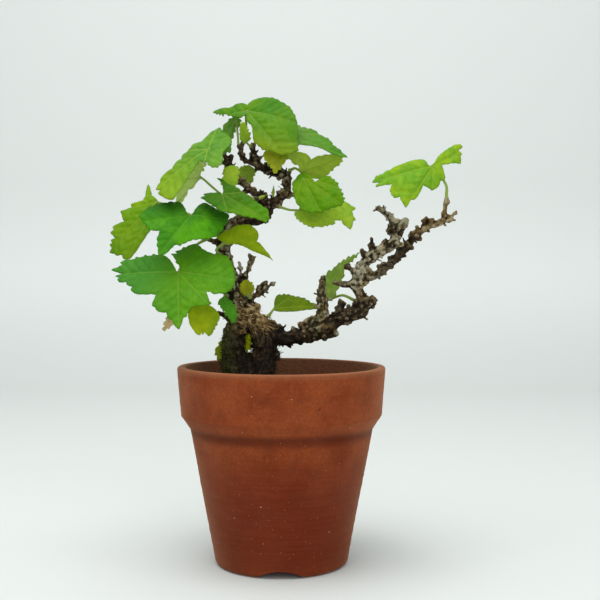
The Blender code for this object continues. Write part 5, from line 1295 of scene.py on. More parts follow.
def make_vein_group():
    """Main veins, side veins and the fine net between them, from the blade's vein map."""
    tree, ends, out = new_group(
        "leaf_veins",
        [("UV", "NodeSocketVector", None), ("Pitch", "NodeSocketFloat", VEIN_PITCH),
         ("Width", "NodeSocketFloat", 0.32)],
        [("Main", "NodeSocketFloat"), ("Side", "NodeSocketFloat"), ("Net", "NodeSocketFloat")])
    parts = add_node(tree, "ShaderNodeSeparateXYZ", {0: ends.outputs["UV"]})
    along, off = parts.outputs[0], maths(tree, "ABSOLUTE", parts.outputs[1])
    taper = add_node(tree, "ShaderNodeMapRange",
                     {"Value": along, "From Min": 0.0, "From Max": 30.0, "To Min": 1.25, "To Max": 0.45}).outputs[0]
    width = maths(tree, "MULTIPLY", ends.outputs["Width"], taper)
    main = ramp_between(tree, maths(tree, "DIVIDE", off, width), 1.25, 0.45)
    bent = maths(tree, "MULTIPLY", maths(tree, "MULTIPLY", off, off), 0.012)
    slanted = maths(tree, "ADD", maths(tree, "SUBTRACT", along, maths(tree, "MULTIPLY", off, VEIN_SLANT)), bent)
    phase = maths(tree, "DIVIDE", slanted, ends.outputs["Pitch"])
    gap = maths(tree, "PINGPONG", phase, 0.5)
    gap = maths(tree, "MULTIPLY", gap, ends.outputs["Pitch"])
    side = ramp_between(tree, gap, 0.24, 0.07)
    cells = add_node(tree, "ShaderNodeTexVoronoi", {"Vector": ends.outputs["UV"], "Scale": 0.85},
                     feature="DISTANCE_TO_EDGE")
    net = ramp_between(tree, cells.outputs["Distance"], 0.10, 0.02)
    tree.links.new(main, out.inputs["Main"])
    tree.links.new(side, out.inputs["Side"])
    tree.links.new(net, out.inputs["Net"])
    return tree


leaf_veins = make_vein_group()

# %% Leaf material
UNDERSIDE_TONE = srgb(150, 178, 74)
GLOW_TINT = (1.3, 1.2, 0.45, 1.0)
STALK_TONE = srgb(158, 182, 92)


def make_leaf_material(name, looks, shade, size, lean):
    """A leaf with two tones in patches, pale veins, a dull underside and light through the blade."""
    first, second, vein = looks
    material, tree, shader, output = new_material(name, Specular_IOR_Level=0.16)
    coords = add_node(tree, "ShaderNodeTexCoord")
    place = add_node(tree, "ShaderNodeVectorMath", {0: coords.outputs["Object"], 1: lean}, operation="ADD")
    veins = use_group(tree, leaf_veins, {"UV": coords.outputs["UV"], "Pitch": VEIN_PITCH * (0.55 + 0.45 * size)})
    marks = add_node(tree, "ShaderNodeAttribute", attribute_name="leaf_marks")
    mark = add_node(tree, "ShaderNodeSeparateColor", {0: marks.outputs["Color"]})
    edge, upper, stalk = mark.outputs[0], mark.outputs[1], mark.outputs[2]
    clouds = use_group(tree, patches, {"Vector": place.outputs[0], "Size": 13.0, "Low": 0.38, "High": 0.62})
    mottle = use_group(tree, patches, {"Vector": place.outputs[0], "Size": 2.2, "Low": 0.3, "High": 0.75})
    colour = blend_colours(tree, clouds.outputs[0], srgb(*first), srgb(*second))
    if shade:
        start, stop, tone, strength = shade
        run = (Vector(stop) - Vector(start)) * MM
        line = Vector((run.x, 0.0, run.y)) / run.length_squared
        reach = add_node(tree, "ShaderNodeVectorMath", {0: coords.outputs["Object"], 1: tuple(line)},
                         operation="DOT_PRODUCT").outputs["Value"]
        offset = (start[0] * line.x + start[1] * line.z) * MM
        share = ramp_between(tree, maths(tree, "SUBTRACT", reach, offset), 0.0, 1.0)
        colour = blend_colours(tree, maths(tree, "MULTIPLY", share, strength), colour, srgb(*tone))
    darker = blend_colours(tree, 1.0, colour, (0.62, 0.72, 0.55, 1.0), "MULTIPLY")
    colour = blend_colours(tree, maths(tree, "MULTIPLY", mottle.outputs[0], 0.5), colour, darker)
    colour = blend_colours(tree, maths(tree, "MULTIPLY", veins.outputs["Net"], 0.10), colour, srgb(*vein))
    colour = blend_colours(tree, maths(tree, "MULTIPLY", veins.outputs["Side"], 0.2), colour, srgb(*vein))
    colour = blend_colours(tree, maths(tree, "MULTIPLY", veins.outputs["Main"], 0.45), colour, srgb(*vein))
    rim = maths(tree, "MULTIPLY", maths(tree, "POWER", edge, 6.0), 0.3)
    colour = blend_colours(tree, rim, colour, darker)
    below = blend_colours(tree, 0.55, colour, UNDERSIDE_TONE)
    colour = blend_colours(tree, upper, below, colour)
    colour = blend_colours(tree, stalk, colour, STALK_TONE)
    tree.links.new(colour, shader.inputs["Base Color"])
    rough = add_node(tree, "ShaderNodeMapRange", {"Value": mottle.outputs[0], "To Min": 0.46, "To Max": 0.62})
    dull = add_node(tree, "ShaderNodeMapRange", {"Value": upper, "To Min": 0.24, "To Max": 0.0})
    tree.links.new(maths(tree, "ADD", rough.outputs[0], dull.outputs[0]), shader.inputs["Roughness"])
    height = maths(tree, "MULTIPLY", veins.outputs["Main"], -1.0)
    height = maths(tree, "SUBTRACT", height, maths(tree, "MULTIPLY", veins.outputs["Side"], 0.7))
    height = maths(tree, "SUBTRACT", height, maths(tree, "MULTIPLY", veins.outputs["Net"], 0.35))
    height = maths(tree, "ADD", height, maths(tree, "MULTIPLY", mottle.outputs[0], 0.4))
    bump = add_node(tree, "ShaderNodeBump", {"Strength": 0.5, "Distance": 0.2 * MM, "Height": height})
    tree.links.new(bump.outputs[0], shader.inputs["Normal"])
    shine = blend_colours(tree, 1.0, colour, GLOW_TINT, "MULTIPLY")
    glow = add_node(tree, "ShaderNodeBsdfTranslucent", {"Color": shine, "Normal": bump.outputs[0]})
    both = add_node(tree, "ShaderNodeMixShader", {0: 0.42, 1: shader.outputs[0], 2: glow.outputs[0]})
    tree.links.new(both.outputs[0], output.inputs["Surface"])
    return material


# %% Colours of each leaf: two tones and the veins, as screen colours
LEAF_LOOKS = {
    "leaf_low_left": ((106, 172, 16), (90, 162, 20), (150, 186, 68)),
    "leaf_mid_left": ((98, 178, 4), (66, 148, 4), (118, 175, 50)),
    "leaf_far_left": ((146, 184, 0), (120, 168, 0), (165, 182, 43)),
    "leaf_upper_left": ((118, 172, 52), (94, 158, 50), (177, 202, 56)),
    "leaf_under_left": ((240, 252, 220), (230, 250, 204), (160, 181, 50)),
    "leaf_centre": ((88, 158, 0), (106, 164, 0), (134, 161, 56)),
    "leaf_centre_low": ((172, 196, 6), (148, 176, 6), (180, 199, 43)),
    "leaf_top": ((80, 148, 18), (110, 162, 12), (144, 176, 81)),
    "leaf_top_right": ((72, 140, 26), (92, 154, 29), (150, 181, 68)),
    "leaf_hanging": ((196, 200, 52), (176, 188, 44), (180, 182, 56)),
    "leaf_right_pale": ((200, 222, 74), (176, 208, 60), (180, 198, 68)),
    "leaf_right_front": ((96, 160, 0), (118, 168, 2), (153, 178, 50)),
    "leaf_right_low": ((176, 206, 58), (154, 194, 50), (186, 215, 56)),
    "leaf_top_back": ((78, 160, 66), (96, 172, 60), (110, 162, 56)),
    "leaf_young_top": ((176, 206, 60), (156, 194, 50), (176, 196, 62)),
    "leaf_inner_right": ((170, 196, 60), (150, 182, 50), (156, 176, 50)),
    "leaf_inner_left": ((170, 200, 50), (150, 188, 40), (166, 186, 53)),
    "leaf_stump_left": ((212, 224, 34), (166, 196, 24), (197, 210, 46)),
    "leaf_stump_front": ((116, 196, 54), (90, 172, 46), (120, 172, 50)),
    "leaf_stump_young": ((206, 204, 40), (170, 178, 30), (160, 163, 43)),
    "leaf_stump_right": ((104, 140, 0), (132, 156, 4), (157, 175, 47)),
    "leaf_branch_middle": ((168, 196, 90), (146, 182, 76), (164, 184, 110)),
    "leaf_branch_tip": ((166, 200, 30), (126, 184, 42), (180, 204, 60)),
    # Partly painted light: this leaf lies in shade behind the stump, and its yellow-green is set far paler than its
    # own so that it reads brightly lit.
    "leaf_stump_back": ((236, 240, 60), (214, 226, 50), (172, 185, 40)),
    "leaf_withered": ((250, 230, 196), (236, 200, 160), (216, 176, 150)),
}

# Leaves whose tone changes across the blade: from (x, z) to (x, z) in mm, the tone there and its share
LEAF_SHADES = {
    "leaf_mid_left": ((-45, 150), (-44, 159), (12, 84, 8), 0.8),
    "leaf_centre": ((-14, 154), (-16, 163), (44, 104, 6), 0.6),
    "leaf_top": ((-2, 192), (-5, 182), (146, 172, 20), 0.85),
    "leaf_upper_left": ((-34, 186), (-56, 164), (150, 184, 14), 0.9),
    "leaf_low_left": ((-44, 118), (-64, 122), (60, 146, 58), 0.6),
    "leaf_top_right": ((20, 182), (2, 190), (128, 168, 70), 0.6),
    "leaf_far_left": ((-56, 160), (-68, 134), (96, 140, 6), 0.5),
}

for number, (name, leaf) in enumerate(LEAVES.items()):
    reach = min(1.0, (Vector(leaf.tip) - Vector(leaf.base)).length / 26.0)
    slide = (number * 0.013, number * 0.007, number * 0.021)
    look = make_leaf_material(name + "_look", LEAF_LOOKS[name], LEAF_SHADES.get(name), reach, slide)
    make_leaf(name, leaf, look)

# %% [markdown]
# ## The wood
#
# The rootstock, the trunk and both branches are one piece of old, knotty wood. A Skin modifier could
# thicken a line of edges, but it rounds everything alike. Here every stem is a tube of changing
# thickness along its route, knots and buds are set on the tubes by a seeded rule, and a voxel remesh
# fuses them into one skin, the way bark grows over a joint. The routes are those of the CAD part.

# %% Routes of the wood
ROUTES = {
    "rootstock": [(-15, 2, 50, 5), (-15, 2, 58, 8.6), (-15, 2, 66, 10.2), (-15, 2, 76, 10.4),
                  (-15, 2, 86, 10.3), (-15, 2, 92.4, 8.4)],
    "stump_bridge": [(-20, 2, 105.6, 4.6), (-15, 2, 106, 4.6), (-9, 2, 104.6, 4.6)],
    "left_column_front": [(-20, -2.5, 80, 6), (-21.4, -3, 90, 5.1), (-21.6, -2.5, 97, 4.8),
                          (-20.6, -1.5, 103, 4.6), (-17.5, 0, 109, 5.2)],
    "left_column_back": [(-20, 6.5, 80, 6), (-21.2, 7, 90, 5.0), (-21.4, 6.5, 97, 4.7),
                         (-20.2, 5.5, 103, 4.6), (-17, 4.5, 109, 5.2)],
    "right_column_front": [(-9, -2.5, 80, 6), (-8.3, -2.5, 90, 5.0), (-7.9, -2, 97, 5.0),
                           (-8.6, -1, 103, 5.2), (-12.5, 0, 108.5, 5.4)],
    "right_column_back": [(-9, 6.5, 80, 6), (-8.3, 6.5, 90, 5.0), (-8.2, 6, 97, 5.0),
                          (-9.4, 5, 103, 5.0), (-13, 4.5, 108.5, 5.2)],
    "trunk": [(-14.5, 2, 109, 6.2), (-18.5, 3, 113, 5.4), (-20.5, 4, 118, 4.7), (-22.3, 5, 124, 4.0),
              (-25, 6, 131, 3.7), (-26.3, 6, 138, 3.4), (-25.5, 7, 144.5, 3.2),
              (-22.5, 9, 150, 3.0), (-17.5, 11, 153, 2.8), (-12, 11.5, 152.6, 2.9),
              (-8.2, 9.5, 155, 3.2), (-5.8, 7, 158.5, 3.4)],
    "crown_right": [(-5.8, 7, 158.5, 3.2), (-2.5, 5.5, 161, 2.7), (0.6, 4, 162.8, 2.4),
                    (2.4, 3.5, 166, 2.2), (2.7, 4, 169.8, 2.2), (0.4, 5.5, 172.8, 2.2),
                    (-4, 7, 173.6, 2.2), (-8.5, 8, 175.3, 2.1), (-11.2, 8, 179, 1.7),
                    (-12.8, 8, 183.5, 1.3), (-13.6, 8, 187.2, 0.7)],
    "crown_left": [(-5.8, 7, 158.5, 2.8), (-8.5, 6.2, 161.3, 2.4), (-14, 6, 165.3, 2.0),
                   (-18.5, 7, 169.5, 1.6), (-21.5, 8, 173, 1.5), (-23.5, 8.5, 177, 1.7),
                   (-25.2, 9, 180.6, 1.1)],
    "crown_twig": [(-10.2, 8, 176.6, 1.6), (-16, 9, 178.8, 1.3), (-18.5, 9.5, 181, 1.2),
                   (-18.3, 9.5, 185, 1.0)],
    "crown_side_twig": [(1, 4, 163, 1.4), (4.5, 3.5, 163.3, 1.1), (8.5, 3, 162.4, 0.9)],
    "right_branch": [(-8, 1, 103, 5.6), (-3, 0.5, 100.5, 4.7), (1.5, -1, 99.5, 3.9),
                     (8, -4, 100.3, 3.7), (14, -7, 101.6, 3.8), (18.5, -8, 104.2, 4.4),
                     (25.6, -9, 108.4, 3.4), (31, -10, 110.2, 3.3), (35, -10.5, 111.6, 3.3),
                     (35.6, -11, 115.5, 2.8), (33.4, -12, 120.8, 2.6), (33, -12, 126, 3.0),
                     (34.5, -12.5, 130.5, 2.6), (38, -13, 134, 2.5), (42.7, -14, 137.8, 2.6),
                     (47.8, -14.5, 140.4, 2.8), (49.2, -15, 145.8, 1.9), (48, -16, 150, 1.8),
                     (45, -17, 153.2, 1.5), (42.3, -17.6, 155.2, 1.1), (40.1, -18, 156.4, 0.6)],
    "thin_branch": [(33.5, -11.5, 125.6, 2.2), (39.5, -8.5, 126.6, 2.0), (45, -7.5, 129.9, 1.8),
                    (49.6, -7.5, 134.2, 1.9), (52.6, -8.6, 138, 2.1), (55.2, -10, 141, 1.7),
                    (58.4, -12.5, 144.3, 1.7), (62.6, -14.8, 147.4, 1.3), (69.2, -17, 150.1, 1.0),
                    (74.7, -18.5, 150.7, 0.6)],
    "tip_twig": [(69.2, -17, 150.5, 1.2), (69.8, -18.2, 154.5, 1.0), (70.1, -18.8, 158, 0.9)],
    "tip_fork": [(71, -17.6, 150.2, 0.9), (72.6, -18.2, 151.8, 0.8), (73.9, -18.6, 154.2, 0.5)],
    "branch_stub": [(18.5, -8, 104.5, 3.3), (18.2, -8.5, 111.5, 2.7), (17.8, -8.5, 117, 2.1),
                    (17.5, -8.5, 121.6, 1.5), (18.4, -8.5, 127, 0.7)],
    "stub_low_left": [(33, -12, 123.2, 1.7), (27.5, -13, 123.2, 1.4), (22.2, -14, 124, 0.8)],
    "stub_high_left": [(32.8, -12, 128, 1.4), (27.2, -14, 131.6, 0.7)],
    "bud_cluster": [(25.6, -9, 108.4, 2.2), (25.2, -9.2, 112.5, 1.6), (27, -9.5, 116.4, 1.4)],
    "corner_lump": [(36, -11, 113.2, 2.2), (39, -10.5, 115.6, 2.0), (41.2, -10.5, 117.2, 1.6)],
    "spur_upright": [(40, -13.5, 135.6, 1.4), (38.6, -14, 139, 1.2), (38.8, -14, 142.3, 0.9)],
    "spur_left": [(37, -13, 134, 1.2), (34.2, -14, 138.6, 1.0)],
    "spur_upper": [(45, -14.2, 139, 1.1), (44.3, -14.5, 142.8, 0.8)],
    "bud_lump": [(49, -15.3, 147, 1.8), (52.4, -15.6, 149.3, 2.0), (54, -15.6, 151.6, 1.3)],
    "bud_lump_low": [(49.2, -15.2, 144.6, 1.4), (52.3, -15.4, 145.6, 1.5)],
    "bud_left": [(49.2, -15.2, 145, 1.2), (45.6, -15.6, 147.6, 1.1)],
    "thin_bud_a": [(45, -7.5, 130, 1.4), (41.6, -8.6, 131.4, 0.9)],
    "thin_bud_b": [(56.5, -11, 142, 1.2), (56.2, -11.4, 146.4, 0.8)],
    "thin_bud_c": [(62, -14, 147, 1.0), (61.4, -14.6, 151.6, 1.1)],
    "thin_bud_d": [(58, -12, 143.5, 1.0), (61, -11.4, 142.4, 0.8)],
    "knot_stub": [(18.5, -8, 103, 2.6), (21.5, -8.4, 101.6, 2.0), (24, -8.8, 102.8, 1.4)],
    "spur_fan_a": [(11, -5.5, 101.4, 1.7), (8.3, -6, 106.2, 1.0)],
    "spur_fan_b": [(12, -6, 102, 1.6), (11, -7, 108.3, 1.0)],
    "spur_fan_c": [(13, -6.5, 102.5, 1.4), (14.4, -7.5, 109, 0.9)],
    "under_lump_a": [(12, -6, 100.6, 2.2), (13.4, -6, 97.4, 1.3)],
    "under_lump_b": [(29, -9.6, 109, 2.0), (28.6, -9.6, 105.8, 1.3)],
    "upper_lump": [(6, -3, 101, 1.7), (4.8, -3.4, 104.8, 1.1)],
    "shoulder_spur": [(-3, 0, 102, 1.8), (-0.4, -0.6, 105.6, 1.0)],
    "stump_knob": [(-6, 0, 90.5, 2.6), (-1.2, -1, 91.4, 1.9)],
    "stump_knob_top": [(-2.2, -0.8, 91, 1.5), (-1.2, -1.2, 93.4, 0.9)],
    "top_knob": [(-12.5, 1, 110, 2.2), (-10.2, 0, 114.6, 1.5)],
    "left_stub": [(-22, 3, 107, 2.0), (-26, 2.4, 109.6, 1.3), (-28.2, 2, 110.2, 1.0)],
    "left_spur": [(-22.5, 0, 102, 1.8), (-26, -1, 103.6, 0.9)],
    "twig_a": [(-21, 4, 121, 1.5), (-18.4, 2.4, 127.6, 1.0), (-19.4, 2, 133.6, 0.9)],
    "twig_b": [(-20, 4, 120, 1.9), (-17.4, 3, 125, 1.4), (-14, 2.4, 131.4, 1.4),
               (-11.4, 2, 136, 0.8)],
    "twig_b_fork": [(-14.2, 2.4, 131, 1.1), (-13.4, 2, 136.4, 0.8)],
    "twig_c": [(-16, 3, 113, 2.2), (-12.6, 2, 117.6, 1.7), (-8, 1, 120.8, 1.2), (-2.4, 0, 124.4, 0.5)],
    "twig_c_spur": [(-11, 1.6, 118.6, 1.2), (-8.6, 1.4, 123.2, 1.0), (-6.4, 1, 123.4, 0.9)],
    "trunk_spur_left": [(-26, 6, 140, 1.6), (-30, 3.4, 142.2, 1.2), (-31.8, 1.2, 143, 1.0)],
    "trunk_spur_front": [(-26, 6, 136, 1.6), (-27, 3, 136.4, 1.2)],
    "crown_under_spur": [(-8, 9, 154.4, 1.4), (-6.4, 7.6, 150.9, 0.9)],
    "knot_bud": [(-9, 6.2, 161, 1.5), (-6.8, 5.4, 164.6, 0.9)],
    "leaf_cluster_a": [(-23.5, 8.5, 177, 1.5), (-27, 8.2, 178.4, 1.0)],
    "leaf_cluster_b": [(-23.8, 8.5, 178, 1.4), (-22, 8, 181.6, 0.9)],
    "leaf_cluster_c": [(-23, 8.4, 176, 1.3), (-26, 7.6, 174.4, 0.9)],
}

# %% Buds and knots
BUD_ROWS = {
    "right_branch": 30, "thin_branch": 18, "crown_right": 18, "crown_left": 10, "trunk": 14,
    "branch_stub": 5, "crown_twig": 3, "twig_b": 3, "twig_c": 3,
}
BUD_LENGTH = (0.7, 2.4)
BUD_RADIUS = (0.7, 1.3)
BUD_SEED = 7
NODE_SPACING = 4.6
KNOT_SEED = 23
SLIM = {"crown_right": 0.72, "crown_left": 0.72, "crown_twig": 0.8, "right_branch": 0.88, "thin_branch": 0.9,
        "twig_a": 0.55, "twig_b": 0.62, "twig_c": 0.7, "spur_upright": 0.75}
FINE_BUD_ROWS = {
    "right_branch": 70, "thin_branch": 26, "crown_right": 44, "crown_left": 24, "trunk": 16, "twig_a": 4,
    "twig_b": 4, "twig_c": 4, "crown_twig": 5, "branch_stub": 8,
}
FINE_BUD_LENGTH = (0.8, 2.6)
FINE_BUD_RADIUS = (0.5, 0.8)
FINE_BUD_SEED = 19
STANDING_STUBS = [
    [(8.6, -5, 101.5, 1.3), (9.0, -6, 104.6, 0.9), (9.2, -6.4, 106.8, 0.85)],
    [(10.6, -6, 101.5, 1.3), (10.9, -6.8, 105.4, 0.85), (10.6, -7, 108.2, 0.8)],
    [(12.6, -7, 103, 1.3), (13.2, -8, 105.8, 0.85), (14.0, -8.4, 107.8, 0.8)],
    [(22.5, -9, 104.5, 1.3), (23.6, -10.5, 102.4, 1.1), (24.8, -11, 101.2, 1.0)],
    [(29, -10, 109, 1.3), (29.4, -11, 112.6, 0.95), (28.8, -11.5, 114.6, 0.9)],
    [(-1.5, -1.5, 101.5, 1.3), (-1.2, -3, 103.8, 1.0), (-0.8, -3.5, 105.2, 0.9)],
]
WOOD_REACH = (cad_box[1][0] / MM) - POT_PLACE[0] - 0.8
ROUTE_STEPS = 3


def bud_routes(chance, rows, lengths, radii):
    """Short stubs that stand off the stems; the large ones are in the same places as the CAD part's."""
    buds = []
    for name, count in rows.items():
        stem = smooth_route(ROUTES[name], ROUTE_STEPS)
        for k in range(count):
            place = (k + chance.random()) / count * (len(stem) - 2)
            first, second = stem[int(place)], stem[int(place) + 1]
            along = (Vector(second[:3]) - Vector(first[:3])).normalized()
            around = Matrix.Rotation(chance.uniform(0, math.tau), 3, along)
            side = around @ along.orthogonal().normalized()
            lean = (side + along * chance.uniform(0.1, 0.6)).normalized()
            start = Vector(first[:3])
            length = chance.uniform(*lengths)
            radius = chance.uniform(*radii)
            neck = start + lean * (first[3] + length * 0.3)
            end = start + lean * (first[3] + length * 0.95) + along * 0.3
            if end.x + radius > WOOD_REACH:
                continue
            buds.append([(*start, radius * 1.2), (*neck, radius * 0.82), (*end, radius * 0.9)])
    return buds


def knot_places(chance):
    """Places and sizes of the swellings round the old leaf scars, in rings at each node of a stem."""
    knots = []
    for name, route in ROUTES.items():
        stem = smooth_route(route, 8)
        reach = np.cumsum([0.0] + [math.dist(a[:3], b[:3]) for a, b in zip(stem, stem[1:])])
        place = chance.uniform(0.8, 2.5)
        while place < reach[-1] - 0.3:
            k = int(np.searchsorted(reach, place))
            x, y, z, thick = stem[k]
            along = (Vector(stem[k][:3]) - Vector(stem[k - 1][:3])).normalized()
            thick *= SLIM.get(name, 1.0)
            for _ in range(chance.randint(4, 7) if thick < 5 else 3):
                side = Matrix.Rotation(chance.uniform(0, math.tau), 3, along) @ along.orthogonal().normalized()
                radius = chance.uniform(0.35, 0.8) + 0.12 * min(thick, 4.5)
                spot = Vector((x, y, z)) + side * (thick + radius * chance.uniform(-0.45, 0.35))
                knots.append((spot + along * chance.uniform(-0.9, 0.9), radius, along))
            place += NODE_SPACING * chance.uniform(0.45, 1.15)
    return knots


# %% Fuse the stems
WOOD_VOXEL = 0.42


def rounded_end(route):
    """A route whose last millimetre closes like a fingertip."""
    *body, (x, y, z, radius) = route
    end = Vector((x, y, z))
    body = [point for point in body if math.dist(point[:3], end) > radius * 0.85]
    back = (Vector(body[-1][:3]) - end).normalized()
    tip = [(0.62, 1.0), (0.25, 0.82), (-0.02, 0.4)]
    return body + [(*(end + back * radius * share), radius * width) for share, width in tip]


def leaf_cushions():
    """The swellings of the wood that the leaf stalks stand on."""
    return [[(*leaf.root, 1.25), (*leaf.foot, 1.0)] for leaf in LEAVES.values()]


def make_stems():
    """All the tubes in one mesh object."""
    curve = bpy.data.curves.new("stems", "CURVE")
    curve.dimensions = "3D"
    curve.bevel_depth = 1.0
    curve.bevel_resolution = 5
    curve.use_fill_caps = True
    routes = []
    for name, route in ROUTES.items():
        slim = SLIM.get(name, 1.0)
        routes.append(rounded_end([(x, y, z, radius * slim) for x, y, z, radius in smooth_route(route, 5)]))
    buds = bud_routes(random.Random(BUD_SEED), BUD_ROWS, BUD_LENGTH, BUD_RADIUS)
    buds += bud_routes(random.Random(FINE_BUD_SEED), FINE_BUD_ROWS, FINE_BUD_LENGTH, FINE_BUD_RADIUS)
    routes += [rounded_end(route) for route in buds + STANDING_STUBS] + leaf_cushions()
    for route in routes:
        spline = curve.splines.new("POLY")
        spline.points.add(len(route) - 1)
        for point, (x, y, z, radius) in zip(spline.points, route):
            point.co = (x, y, z, 1.0)
            point.radius = radius
    thing = bpy.data.objects.new("stems", curve)
    bpy.context.scene.collection.objects.link(thing)
    make_active(thing)
    bpy.ops.object.convert(target="MESH")
    return bpy.context.object


def add_knots(stems):
    """Join a small round knot to the stems at each place."""
    start_clean()
    bpy.ops.mesh.primitive_ico_sphere_add(subdivisions=2, radius=1.0)
    model = bpy.context.object
    shape, faces = points_of(model.data), [tuple(face.vertices) for face in model.data.polygons]
    bpy.data.objects.remove(model)
    points, all_faces = [], []
    for place, radius, along in knot_places(random.Random(KNOT_SEED)):
        stretch = shape * radius
        stretch = stretch + np.outer(stretch @ np.array(along), np.array(along)) * 0.25
        all_faces += [tuple(k + len(points) * len(shape) for k in face) for face in faces]
        points.append(stretch + np.array(place))
    mesh = bpy.data.meshes.new("knots")
    mesh.from_pydata(np.concatenate(points).tolist(), [], all_faces)
    knots = bpy.data.objects.new("knots", mesh)
    bpy.context.scene.collection.objects.link(knots)
    make_active(stems)
    knots.select_set(True)
    bpy.ops.object.join()


wood = make_stems()
wood.name = "knotty_wood"
add_knots(wood)
fused = wood.modifiers.new("fused", "REMESH")
fused.mode = "VOXEL"
fused.voxel_size = WOOD_VOXEL
soft = wood.modifiers.new("soft", "SMOOTH")
soft.factor = 0.5
soft.iterations = 2
apply_modifiers(wood)
print("wood points:", len(wood.data.vertices))

# %% [markdown]
# Bark splits along a stem and wrinkles across it, so its pattern has to follow each stem round every
# bend. Every point of the skin looks up the nearest stem and takes three numbers from it: two for its
# place across the stem and one for its distance along. The relief and the colours both use them.

# %% Places along the stems
SAMPLE_STEP = 0.8
PALENESS = {
    "rootstock": (0.0, 0.02), "stump_bridge": (0.3, 0.35), "left_column_front": (0.05, 0.1, 0.3),
    "left_column_back": (0.0, 0.0), "right_column_front": (0.0, 0.05, 0.4), "right_column_back": (0.0, 0.0),
    "trunk": (0.5, 0.62, 0.7, 0.62, 0.4, 0.22, 0.2), "crown_right": (0.32, 0.36, 0.32, 0.26),
    "crown_left": (0.32, 0.34, 0.28), "crown_twig": (0.2, 0.2), "crown_side_twig": (0.4, 0.5),
    "right_branch": (0.14, 0.06, 0.07, 0.1, 0.22, 0.3, 0.3, 0.26, 0.28, 0.38, 0.4, 0.75, 0.92, 0.8, 0.7,
                     0.5, 0.85, 0.95, 0.7, 0.3),
    "thin_branch": (0.62, 0.62, 0.45, 0.25, 0.2, 0.3, 0.42, 0.5, 0.56, 0.5),
    "tip_twig": (0.45, 0.5), "tip_fork": (0.5, 0.35), "branch_stub": (0.55, 0.62, 0.5, 0.4, 0.3),
    "spur_upright": (0.3, 0.2), "corner_lump": (0.35, 0.3), "twig_a": (0.5, 0.6), "twig_b": (0.42, 0.4),
    "twig_c": (0.4, 0.36), "stub_low_left": (0.6, 0.35, 0.2), "stub_high_left": (0.4, 0.15),
    "bud_lump": (0.7, 0.75), "bud_cluster": (0.3, 0.25), "knot_stub": (0.4, 0.5), "spur_fan_a": (0.3, 0.4),
    "spur_fan_b": (0.35, 0.5), "spur_fan_c": (0.35, 0.5), "stump_knob": (0.05, 0.12),
    "stump_knob_top": (0.1, 0.1), "left_spur": (0.3, 0.3), "left_stub": (0.3, 0.25),
}


def stem_samples():
    """Evenly placed samples of all stems: place, radius, frame, distance along and paleness."""
    places, radii, frames, runs, tones = [], [], [], [], []
    total = 0.0
    for name, route in ROUTES.items():
        line = np.array(smooth_route(route, 8))
        lengths = np.linalg.norm(np.diff(line[:, :3], axis=0), axis=1)
        reach = np.concatenate([[0.0], np.cumsum(lengths)])
        marks = np.arange(0.0, reach[-1] + 1e-6, SAMPLE_STEP)
        samples = np.column_stack([np.interp(marks, reach, line[:, k]) for k in range(4)])
        tone = PALENESS.get(name, (0.3, 0.25))
        knots = reach[::8] if len(tone) == len(route) else np.linspace(0, reach[-1], len(tone))
        tones += list(np.interp(marks, knots, tone))
        ahead = np.gradient(samples[:, :3], axis=0) if len(samples) > 1 else line[-1:, :3] - line[:1, :3]
        side = Vector((0, 1, 0))
        for k in range(len(samples)):
            along = Vector(ahead[k]).normalized()
            side = (side - along * along.dot(side)).normalized()
            frames.append([tuple(side), tuple(along.cross(side)), tuple(along)])
            places.append(samples[k, :3])
            radii.append(samples[k, 3])
            runs.append(total + marks[k])
        total += reach[-1] + 37.0
    return [np.array(part) for part in (places, radii, frames, runs, tones)]


def stem_places(points, samples):
    """For skin points: place across and along the nearest stem, its radius and its paleness."""
    places, radii, frames, runs, tones = samples
    nearest = np.empty(len(points), dtype=int)
    for first in range(0, len(points), 4000):
        block = points[first:first + 4000]
        gap = np.linalg.norm(block[:, None, :] - places[None], axis=2) - radii[None]
        nearest[first:first + 4000] = gap.argmin(axis=1)
    away = points - places[nearest]
    local = np.einsum("nij,nj->ni", frames[nearest], away)
    local[:, 2] += runs[nearest]
    return local, radii[nearest], tones[nearest]


skin = points_of(wood.data)
facing = normals_of(wood.data)
local, stem_radius, paleness = stem_places(skin, stem_samples())
print("thickest stem:", round(float(stem_radius.max()), 1), "mm")

# %% Relief of the bark
HOLE_PLACE = np.array([-15.1, 2.0, 98.0])


def stretched_noise(places, across, along, seed):
    """Noise that is drawn out along the stems."""
    return noise_at(places / np.array([across, across, along]), 1.0, seed)


def bark_relief(skin, local, radius):
    """Heights of the bark over the smooth stems, and how deep each point lies in a fissure."""
    thick = np.clip((radius - 1.8) / 4.0, 0.0, 1.0)
    fissures = 1.0 - np.abs(stretched_noise(local, 1.5, 8.0, 1.0)) * 2.2
    fine = 1.0 - np.abs(stretched_noise(local, 0.75, 3.2, 2.0)) * 2.0
    rings = noise_at(np.column_stack([local[:, 2] / 1.0, local[:, 0] * 0.12, local[:, 1] * 0.12]), 1.0, 3.0)
    lumps = noise_at(skin, 4.2, 4.0)
    bumps = noise_at(skin, 1.7, 5.0)
    grain = noise_at(skin, 0.8, 6.0)
    splits = np.clip(fissures, 0, 1) ** 3
    cracks = np.clip(fine, 0, 1) ** 3
    height = (-(0.06 + 0.40 * thick) * splits - (0.05 + 0.15 * thick) * cracks + (0.16 - 0.08 * thick) * rings
              + (0.20 + 0.55 * thick) * lumps + (0.14 + 0.26 * thick) * bumps + (0.08 + 0.16 * thick) * grain)
    near_hole = np.exp(-(((skin - HOLE_PLACE) / np.array([3.5, 14.0, 7.0])) ** 2).sum(axis=1))
    height = height * (1.0 - 0.15 * near_hole) + 1.1 * near_hole * noise_at(skin, 2.8, 12.0)
    depth = np.clip(0.35 * splits + 0.25 * cracks - 0.35 * bumps - 0.3 * lumps + 0.2, 0.0, 1.0)
    return height, depth


